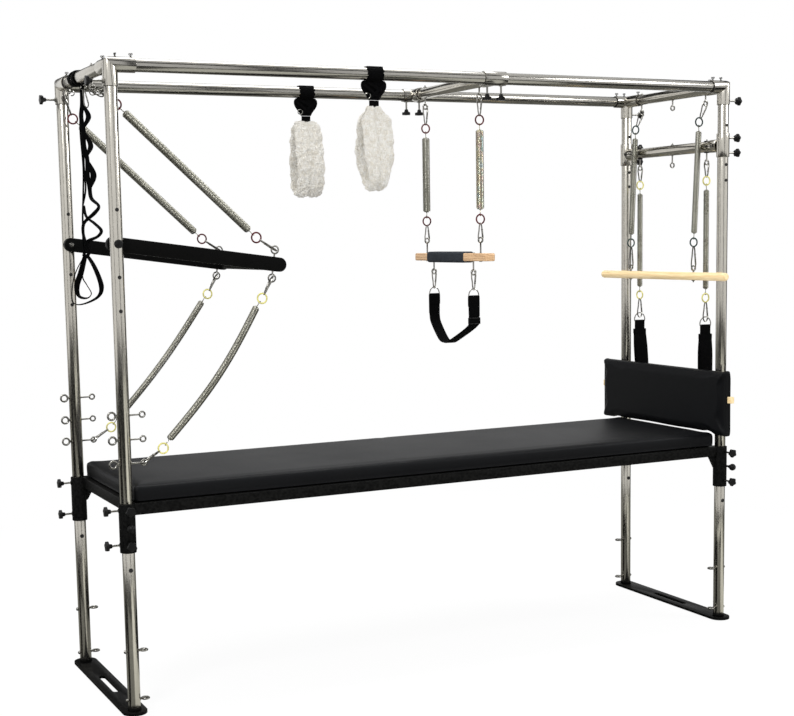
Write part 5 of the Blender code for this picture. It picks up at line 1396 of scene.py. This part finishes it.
def teardrop(centreY, top, height, opening, x, count, share=0.35):
    points = []
    for k in range(count):
        turn = 2 * math.pi * k / count
        down = (1 - math.cos(turn)) / 2
        points.append(Vector((x, centreY + math.sin(turn) * opening * (share + (1 - share) * down),
                              top - height * down)))
    return points


strapLoop = {"ring": 1.189, "ringWide": 0.047, "web": 0.042, "keeper": 0.056, "loop": 0.053, "top": 1.132,
             "low": 0.934, "apart": 0.0115, "turn": math.radians(-11)}


def makeStrapLoops():
    wide = Vector((math.cos(strapLoop["turn"]), math.sin(strapLoop["turn"]), 0))
    for (side, ySign), lean in zip(sides, (0.001, 0.014)):
        y, ringZ, half = ySign * eyeY["strap"], strapLoop["ring"], strapLoop["ringWide"] / 2
        # a D ring with its straight bar below
        outline = [Vector((postX, y, ringZ - half * 0.62)) + wide * (half * a) for a in (0.9, 0.0, -0.9)]
        for k in range(9):
            turn = math.pi * (1 - k / 8)
            outline.append(Vector((postX, y, ringZ - half * 0.30)) + wide * (half * math.cos(turn))
                           + zAxis * (half * 1.18 * math.sin(turn)))
        parts = [wire(outline, 0.0045, "bright", closed=True, smooth=4, section=2)]
        back = Vector((-wide.y, wide.x, 0))
        place = Vector((postX, y, 0))
        low = ringZ - half * 0.62
        fold = [place + back * out + zAxis * (low + up) for out, up in
                ((-0.0034, strapLoop["top"] - low), (-0.0036, -0.012), (-0.0034, 0.0005), (0.0, 0.0042),
                 (0.0034, 0.0005), (0.0036, -0.012), (0.0034, strapLoop["top"] - low))]
        parts.append(sweep(smoothPath(fold, 5), wide, webSection(strapLoop["web"], 0.0026), "webbing"))
        for z in (1.152, 1.143):
            parts += stitches(place - wide * 0.017 - back * 0.0052 + zAxis * z,
                              place + wide * 0.017 - back * 0.0052 + zAxis * z, -back, 11)
        loop = []
        for k in range(64):
            turn = 2 * math.pi * k / 64
            down = (1 - math.cos(turn)) / 2
            bulge = math.copysign(abs(math.sin(turn)) ** 0.55, math.sin(turn))
            swell = bulge * (0.45 + 0.55 * min(1, down * 3.0))
            loop.append(place + back * (swell * strapLoop["apart"]) + wide * (lean * down)
                        + zAxis * (strapLoop["top"] + 0.004 - (strapLoop["top"] - strapLoop["low"]) * down))
        parts.append(sweep(loop, wide, webSection(strapLoop["loop"], 0.0044), "webbing", closed=True))
        keeper = [place + zAxis * (strapLoop["top"] + up) for up in (-0.010, 0.010)]
        parts.append(sweep(keeper, wide, roundSection(strapLoop["keeper"], 0.016, 5, 24), "webbing"))
        finish(parts, side + "StrapLoop", "strap_loop_" + side, "black_webbing", ["strap_loop_" + side])


makeStrapLoops()


# fleece loops and their hangers
print("fleece loops")
fleece = {"x": (-0.291, -0.275), "wide": 0.114, "thick": 0.029, "height": 0.268, "opening": 0.052,
          "top": 1.987, "neck": (0.50, 0.80), "swell": (0.16, 0.09), "foot": (0.40, 0.04),
          "lump": 0.008, "lumpSize": 0.030, "curl": 0.0085, "curlSize": 0.0105}
hanger = {"band": 0.060, "tail": 0.036, "thick": 0.0030}


def cloudTexture(name, size, depth):
    clouds = bpy.data.textures.new(name, "CLOUDS")
    clouds.noise_scale = size
    clouds.noise_depth = depth
    return clouds


def makeFleece():
    lumps = cloudTexture("pileLump", fleece["lumpSize"], 1)
    curls = cloudTexture("pileCurl", fleece["curlSize"], 3)
    # a crease runs down the middle
    section = [(a, n * (1 - 0.62 * math.exp(-(a / 0.008) ** 2)))
               for a, n in roundSection(fleece["wide"], fleece["thick"], 2.6, 60)]
    for (side, ySign), x, neck, swell, foot in zip(sides, fleece["x"], fleece["neck"],
                                                   fleece["swell"], fleece["foot"]):
        y = ySign * postY
        loop = teardrop(y, fleece["top"], fleece["height"], fleece["opening"], x, 150)
        sizes = []
        for k in range(150):
            down = (1 - math.cos(2 * math.pi * k / 150)) / 2
            wide = neck + (1 - neck) * easeUp(down / swell)
            wide *= 1 - foot * easeUp((down - 0.55) / 0.45)
            sizes.append((wide * (1 + 0.03 * math.sin(k * 0.55)), 0.72 + 0.28 * easeUp(down / 0.15)))
        body = sweep(loop, xAxis, section, "fleece", closed=True, sizes=sizes)
        useModifier(body, "SUBSURF", levels=1, render_levels=1)
        useModifier(body, "DISPLACE", texture=lumps, strength=fleece["lump"], mid_level=0.55)
        useModifier(body, "DISPLACE", texture=curls, strength=fleece["curl"], mid_level=0.60)
        body = finish([body], side + "FleeceLoop", "fleece_loop_" + side, "cream_fleece",
                      ["fleece_loop_" + side], 80)
        # the neck that ties the loop to its hanger
        throat = sweep(smoothPath([(x, y, 2.013), (x, y, 2.004), (x, y, 1.988)], 4), xAxis,
                       webSection(hanger["tail"], 0.0058), "webbing")
        finish([throat], side + "FleeceNeck", "fleece_loop_" + side, "black_webbing")
        # hanger: a band round the rail, wrinkled on top, that spreads below it and narrows to a tail
        wrap, widths = [], []
        for k in range(61):
            turn = math.radians(-258 + k * 5.6)
            radius = tubeRadius + 0.0024 + 0.0011 * max(0.0, math.sin(turn)) * (1 + math.sin(k * 1.9))
            wrap.append(Vector((x + 0.0015 * math.sin(k * 0.8), y + radius * math.cos(turn),
                                topZ + radius * math.sin(turn))))
            widths.append((hanger["band"] * (1 + 0.035 * math.sin(k * 1.3)), 1))
        parts = [sweep(wrap, xAxis, webSection(1.0, hanger["thick"]), "webbing", sizes=widths)]
        spread = ((0.0225, 0.078), (0.028, 0.091), (0.034, 0.095), (0.043, 0.095), (0.052, 0.089),
                  (0.062, 0.076), (0.071, 0.060), (0.080, 0.047), (0.0875, 0.040))
        for offset in (-0.0018, 0.0018):
            path = [Vector((x, y + offset * (1 if k else 2.2), topZ - drop))
                    for k, (drop, _) in enumerate(spread)]
            path = smoothPath(path, 3)
            wide = [spread[min(k // 3, 8)][1]
                    + (spread[min(k // 3 + 1, 8)][1] - spread[min(k // 3, 8)][1]) * (k % 3) / 3
                    for k in range(len(path))]
            parts.append(sweep(path, xAxis, webSection(1.0, hanger["thick"]), "webbing",
                               sizes=[(w, 1) for w in wide]))
        # folds that cross from the shoulders to the tail
        for begin, stop in (((-0.040, 0.036), (0.010, 0.076)), ((0.038, 0.034), (-0.012, 0.078)),
                            ((-0.026, 0.028), (0.028, 0.058))):
            foldEnds = [Vector((x + across, y - 0.0048, topZ - drop)) for across, drop in (begin, stop)]
            middle = (foldEnds[0] + foldEnds[1]) / 2 - yAxis * 0.0022
            parts.append(sweep(smoothPath([foldEnds[0], middle, foldEnds[1]], 6),
                               (foldEnds[1] - foldEnds[0]).cross(yAxis).normalized(),
                               roundSection(0.011, 0.0036, 2.2, 14), "webbing"))
        ringSpot = Vector((x - 0.027, y - 0.010, topZ - 0.074))
        parts.append(torus(ringSpot, (0.42, 0.9, 0), 0.021, 0.0034, "bright", 28, 8))
        parts += stitches((x - 0.016, y - 0.0036, topZ - 0.080), (x + 0.016, y - 0.0036, topZ - 0.080),
                          (0, -1, 0), 12)
        finish(parts, side + "FleeceHanger", "fleece_hanger_" + side, "black_webbing",
               ["fleece_hanger_" + side])


makeFleece()


# hanging straps on the left cross tube
print("hanging straps")
hang = {"y": 0.100, "turn": math.radians(-25.8), "web": 0.020, "thin": 0.0032}
hangAlong = Vector((math.cos(hang["turn"]), math.sin(hang["turn"]), 0))
hangDepth = Vector((-math.sin(hang["turn"]), math.cos(hang["turn"]), 0))
# routes in metres: across, towards the table's middle, and up from the tube's axis
hangRoutes = {
    "trunk": ((0.0150, -0.0235), (0.0160, -0.0480), (0.0150, -0.0860), (0.0100, -0.1280), (0.0155, -0.1720),
              (0.0160, -0.2250), (0.0245, -0.2700), (0.0240, -0.3250), (0.0295, -0.3740)),
    "folds": (((0.0160, -0.0860), (0.0350, -0.1270), (0.0170, -0.1640), 0.016),
              ((0.0190, -0.1810), (0.0385, -0.2250), (0.0230, -0.2610), 0.016),
              ((0.0260, -0.2770), (0.0440, -0.3250), (0.0300, -0.3700), 0.019)),
    "ribbon": ((0.0291, -0.3717), (0.0344, -0.4048), (0.0582, -0.4308), (0.0419, -0.4551),
               (0.0062, -0.4867), (0.0009, -0.5226), (0.0089, -0.5608), (-0.0005, -0.6006)),
    "second": ((0.0048, -0.4279), (0.0128, -0.4659), (0.0405, -0.4901), (0.0620, -0.5143),
               (0.0482, -0.5349), (0.0140, -0.5514), (0.0196, -0.5781), (0.0109, -0.6027)),
    "cords": (((0.0197, -0.0255), (0.0064, -0.1182), (0.0036, -0.1835), (0.0084, -0.2960),
               (0.0045, -0.3902), (-0.0006, -0.4657), (-0.0026, -0.5606), (-0.0005, -0.6006)),
              ((0.0235, -0.0256), (0.0128, -0.1463), (0.0157, -0.2118), (0.0141, -0.2961),
               (0.0167, -0.3715), (0.0048, -0.4279))),
    "leftLoop": ((0.0053, -0.6007), (-0.0114, -0.6558), (-0.0278, -0.7033), (-0.0216, -0.7380),
                 (0.0060, -0.7452), (0.0211, -0.7291), (0.0069, -0.7001), (-0.0071, -0.6673)),
    "rightLoop": ((0.0101, -0.6008), (0.0343, -0.6423), (0.0540, -0.7048), (0.0418, -0.7410),
                  (-0.0044, -0.7642), (-0.0400, -0.7655), (-0.0496, -0.7413), (-0.0423, -0.6839),
                  (-0.0231, -0.6365), (-0.0006, -0.6035)),
}


def hangPoint(across, up, out=0.0):
    return Vector((-postX, hang["y"], topZ)) + hangAlong * across + hangDepth * out + zAxis * up


def hangStrap(route, out, wide, twists, closed=False, steps=7):
    # twists, one for each spot of the route, turn the web's face from edge-on (0) to face-on (1)
    path = smoothPath([hangPoint(*spot, out) for spot in route], steps, closed)
    across = []
    for k, point in enumerate(path):
        before = path[k - 1] if closed or k else point
        after = path[(k + 1) % len(path)] if closed or k < len(path) - 1 else point
        flat = (after - before).normalized().cross(hangDepth).normalized()
        near = twists[min(k // steps, len(route) - 1)]
        share = near + (twists[(k // steps + 1) % len(route)] - near) * (k % steps) / steps
        across.append((hangDepth * math.sqrt(1 - share ** 2) + flat * share).normalized())
    return sweep(path, across, webSection(wide, hang["thin"]), "webbing", closed=closed)


def makeHangingStraps():
    parts = []
    # three turns of webbing round the tube, a little askew, the middle one on top
    for shift, lean, grow in ((-0.024, 0.006, 0.0), (0.0, -0.005, 0.0022), (0.024, 0.004, 0.0)):
        wrap = []
        for k in range(41):
            turn = 2 * math.pi * k / 40
            radius = tubeRadius + 0.0028 + grow + 0.0006 * math.sin(3 * turn)
            wrap.append(Vector((-postX + radius * math.sin(turn), hang["y"] + shift + lean * math.sin(turn),
                                topZ + radius * math.cos(turn))))
        parts.append(sweep(wrap[:-1], yAxis, webSection(0.024, 0.0034), "webbing", closed=True))
    trunk = smoothPath([hangPoint(*spot) for spot in hangRoutes["trunk"]], 8)
    for out, wide in ((-0.0050, 0.012), (0.0, 0.015), (0.0050, 0.012)):
        parts.append(sweep([point + hangDepth * out for point in trunk], hangAlong,
                           webSection(wide, 0.0036), "webbing"))
    for start, middle, stop, bulge in hangRoutes["folds"]:
        # a web folded over into a filled leaf at the trunk's side
        for out in (-0.0034, 0.0030):
            path = smoothPath([hangPoint(*start, out), hangPoint(*middle, out * 1.8),
                               hangPoint(*stop, out)], 9)
            sizes = [(0.009 + (bulge - 0.009) * math.sin(math.pi * k / (len(path) - 1)) ** 0.8, 1)
                     for k in range(len(path))]
            parts.append(sweep(path, hangAlong, webSection(1.0, hang["thin"]), "webbing", sizes=sizes))
    parts.append(hangStrap(hangRoutes["ribbon"], -0.0030, hang["web"],
                           (0.5, 0.45, 0.25, 0.5, 0.3, 0.25, 0.2, 0.3)))
    parts.append(hangStrap(hangRoutes["second"], 0.0050, hang["web"],
                           (0.2, 0.2, 0.3, 0.35, 0.3, 0.5, 0.35, 0.3)))
    for out, cord in zip((0.0075, -0.0080), hangRoutes["cords"]):
        parts.append(hangStrap(cord, out, 0.0064, [0.62] * len(cord)))
    parts.append(hangStrap(hangRoutes["leftLoop"], -0.0055, hang["web"],
                           (0.5, 0.95, 0.9, 0.3, 0.15, 0.15, 0.2, 0.3), True))
    parts.append(hangStrap(hangRoutes["rightLoop"], 0.0085, hang["web"],
                           (0.3, 0.55, 0.75, 0.3, 0.15, 0.1, 0.15, 0.15, 0.15, 0.2), True))
    # loose rings and a snap hook beside the top of the straps
    for across, up, size in ((0.0240, -0.0300, 0.024), (-0.0150, -0.0500, 0.020), (-0.0270, -0.0440, 0.018)):
        parts.append(torus(hangPoint(across, up, -0.013), hangDepth + hangAlong * 0.3, size, 0.0036,
                           "bright", 28, 8))
    parts += snapHook(hangPoint(0.0245, -0.0390, -0.013), hangPoint(0.0335, -0.0960, -0.013),
                      side=hangAlong, wide=0.018, thick=0.0042)
    finish(parts, "hangingStraps", "hanging_straps", "black_webbing", ["hanging_straps"])
    # a spare ring and snap hook left on the tube's eye
    spare = Vector((-postX, eyeY["spare"], topZ - tubeRadius - 0.031 - 0.012))
    parts = [torus(spare, hangDepth, 0.024, 0.0038, "bright", 28, 8)]
    parts += snapHook(spare + hangAlong * 0.006 - zAxis * 0.006, spare + hangAlong * 0.044 + zAxis * 0.004,
                      side=(0, 0, 1), wide=0.019, thick=0.0046)
    parts += snapHook(spare - hangAlong * 0.004 + zAxis * 0.004, spare + hangAlong * 0.034 - zAxis * 0.012,
                      side=(0, 0.4, 1), wide=0.018, thick=0.0044)
    parts.append(torus(spare + hangAlong * 0.038 - zAxis * 0.004, hangDepth + hangAlong * 0.5, 0.021,
                       0.0036, "dark", 28, 8))
    parts.append(torus(spare + hangAlong * 0.024 + zAxis * 0.006, hangDepth - hangAlong * 0.6, 0.019,
                       0.0034, "bright", 28, 8))
    finish(parts, "spareHook", "frame", "polished_steel")


makeHangingStraps()

for source in (starHead, hexNut, wingScrew):
    bpy.data.objects.remove(source)


# studio
print("studio")
studio = {
    "ambient": 0.90, "shine": 0.86, "floorNear": 0.90, "floorFade": (1.3, 3.2), "cardShade": 0.012,
    "nearShade": 0.014, "groundShade": 0.17, "ringFrom": 6.5, "cardTall": 6.4,
    "ringCards": ((-100, 13), (31, 9), (130, 46), (-150, 18), (-40, 5)),
}
towardCamera, besideCamera = Vector((-0.454, -0.891, 0)), Vector((0.891, -0.454, 0))


def litFor(tree, glossy):
    # 1 for camera and transmission rays, and the value of glossy for reflections
    path = tree.nodes.new("ShaderNodeLightPath")
    seen = mathNode(tree, "MAXIMUM", path.outputs["Is Camera Ray"], path.outputs["Is Transmission Ray"])
    return mathNode(tree, "MAXIMUM", seen, mathNode(tree, "MULTIPLY", path.outputs["Is Glossy Ray"], glossy))


def makeWorld():
    world = bpy.data.worlds.new("studioWorld")
    scene.world = world
    world.use_nodes = True
    tree = world.node_tree
    light = tree.nodes["Background"]
    light.inputs["Color"].default_value = (1, 1, 1, 1)
    strength = mathNode(tree, "MAXIMUM", litFor(tree, studio["shine"]), studio["ambient"])
    tree.links.new(strength, light.inputs["Strength"])


def makeFloor():
    bpy.ops.object.select_all(action="DESELECT")
    bpy.ops.mesh.primitive_plane_add(size=40, location=(0, 0, -0.0006))
    floor = bpy.context.object
    floor.name = "studioFloor"
    material, tree, shader, coords = startFinish("floorPaper", Roughness=0.9, Specular_IOR_Level=0.0,
                                                 Base_Color=(0.93, 0.93, 0.93))
    far = tree.nodes.new("ShaderNodeVectorMath")
    far.operation = "LENGTH"
    tree.links.new(coords, far.inputs[0])
    fade = rangeNode(tree, far.outputs["Value"], *studio["floorFade"], studio["floorNear"], 1.0)
    share = mathNode(tree, "MULTIPLY", fade, litFor(tree, 1.0))
    glow = tree.nodes.new("ShaderNodeEmission")
    glow.inputs["Color"].default_value = (1, 1, 1, 1)
    glow.inputs["Strength"].default_value = 1.0
    blend = tree.nodes.new("ShaderNodeMixShader")
    tree.links.new(share, blend.inputs[0])
    tree.links.new(shader.outputs[0], blend.inputs[1])
    tree.links.new(glow.outputs[0], blend.inputs[2])
    tree.links.new(blend.outputs[0], tree.nodes["Material Output"].inputs["Surface"])
    floor.data.materials.append(material)


def dressCard(card, shade):
    # a card that only reflections see, as a photographer stands beside polished metal
    material, _, shader, _ = startFinish(card.name + "Board", Roughness=1.0, Specular_IOR_Level=0.0)
    shader.inputs["Base Color"].default_value = (shade, shade, shade * 0.92, 1)
    card.data.materials.append(material)
    card.visible_camera = card.visible_diffuse = card.visible_shadow = card.visible_transmission = False


def makeCard(name, place, size, facing, shade):
    bpy.ops.object.select_all(action="DESELECT")
    bpy.ops.mesh.primitive_plane_add(size=1, location=place, rotation=turned(facing))
    card = bpy.context.object
    card.name = name
    card.scale = (*size, 1)
    dressCard(card, shade)
    return card


def makeGroundStrip(name, foot, angles, reach, shade):
    # a wedge lying on the ground that opens out from a leg's foot
    corners = [Vector(foot)]
    for angle in (angles[0], (angles[0] + angles[1]) / 2, angles[1]):
        way = towardCamera * math.cos(math.radians(angle)) + besideCamera * math.sin(math.radians(angle))
        corners.append(Vector(foot) + way * reach)
    mesh = bpy.data.meshes.new(name)
    mesh.from_pydata([(*corner[:2], -0.0002) for corner in corners], [], [(0, 1, 2, 3)])
    strip = bpy.data.objects.new(name, mesh)
    scene.collection.objects.link(strip)
    dressCard(strip, shade)


def makeUprightCards():
    # tall narrow cards round the object, by the angle from the camera and how many degrees wide
    for number, (angle, wide) in enumerate(studio["ringCards"]):
        way = towardCamera * math.cos(math.radians(angle)) + besideCamera * math.sin(math.radians(angle))
        size = (2 * studio["ringFrom"] * math.tan(math.radians(wide / 2)), studio["cardTall"])
        place = way * studio["ringFrom"] + zAxis * (studio["cardTall"] / 2 - 0.2)
        card = makeCard(f"uprightCard{number}", place, size, -way, studio["cardShade"])
        # its long side is set upright
        side = zAxis.cross(way).normalized()
        turn = Matrix((side, zAxis, side.cross(zAxis))).transposed().to_4x4()
        card.matrix_world = Matrix.Translation(place) @ turn @ Matrix.Diagonal((*size, 1, 1))


def makeLamp(name, place, target, size, power):
    bpy.ops.object.light_add(type="AREA", location=place)
    lamp = bpy.context.object
    lamp.name = name
    lamp.rotation_euler = (Vector(target) - Vector(place)).to_track_quat("-Z", "Y").to_euler()
    lamp.data.shape = "RECTANGLE"
    lamp.data.size, lamp.data.size_y = size
    lamp.data.energy = power


# each lamp's place, target, size and power
lamps = {
    "keyLamp": ((-3.4, -3.0, 4.8), (0, 0, 0.9), (1.2, 1.6), 135),
    "fillLamp": ((3.9, -2.6, 3.8), (0, 0, 0.9), (1.4, 1.4), 75),
    "topLamp": ((0, 0.9, 5.2), (0, 0, 0.7), (4.0, 2.4), 140),
}
# each level card's place, size, facing and shade
cards = {
    "nearGroundCard": ((-1.0, -5.2, -0.0003), (16.0, 7.6), (0, 0, 1), studio["nearShade"]),
    "groundCard": ((0, 2.6, -0.0003), (14.0, 8.0), (0, 0, 1), studio["groundShade"]),
    "overheadCard": ((0.5, -3.4, 5.0), (14.0, 1.9), (0, 0, -1), studio["cardShade"]),
    "backCard": ((1.0, 4.2, 4.6), (14.0, 2.2), (0, 0, -1), studio["cardShade"]),
}
makeWorld()
makeFloor()
for lampName, setting in lamps.items():
    makeLamp(lampName, *setting)
makeUprightCards()
# the strips' angles are from the way to the camera
strips = {"dark": (-82, -42), "light": (30, 60), "leftReach": 6.0, "rightReach": 2.0, "lightReach": 5.0,
          "darkShade": 0.008, "lightShade": 0.60}
for endName, endSign in ends:
    for sideName, sideSign in sides:
        legFoot = (endSign * postX, sideSign * postY, 0)
        darkReach = strips["leftReach"] if endSign < 0 else strips["rightReach"]
        makeGroundStrip(f"{endName}{sideName}DarkStrip", legFoot, strips["dark"], darkReach,
                        strips["darkShade"])
        makeGroundStrip(f"{endName}{sideName}LightStrip", legFoot, strips["light"], strips["lightReach"],
                        strips["lightShade"])
for cardName, setting in cards.items():
    makeCard(cardName, *setting)
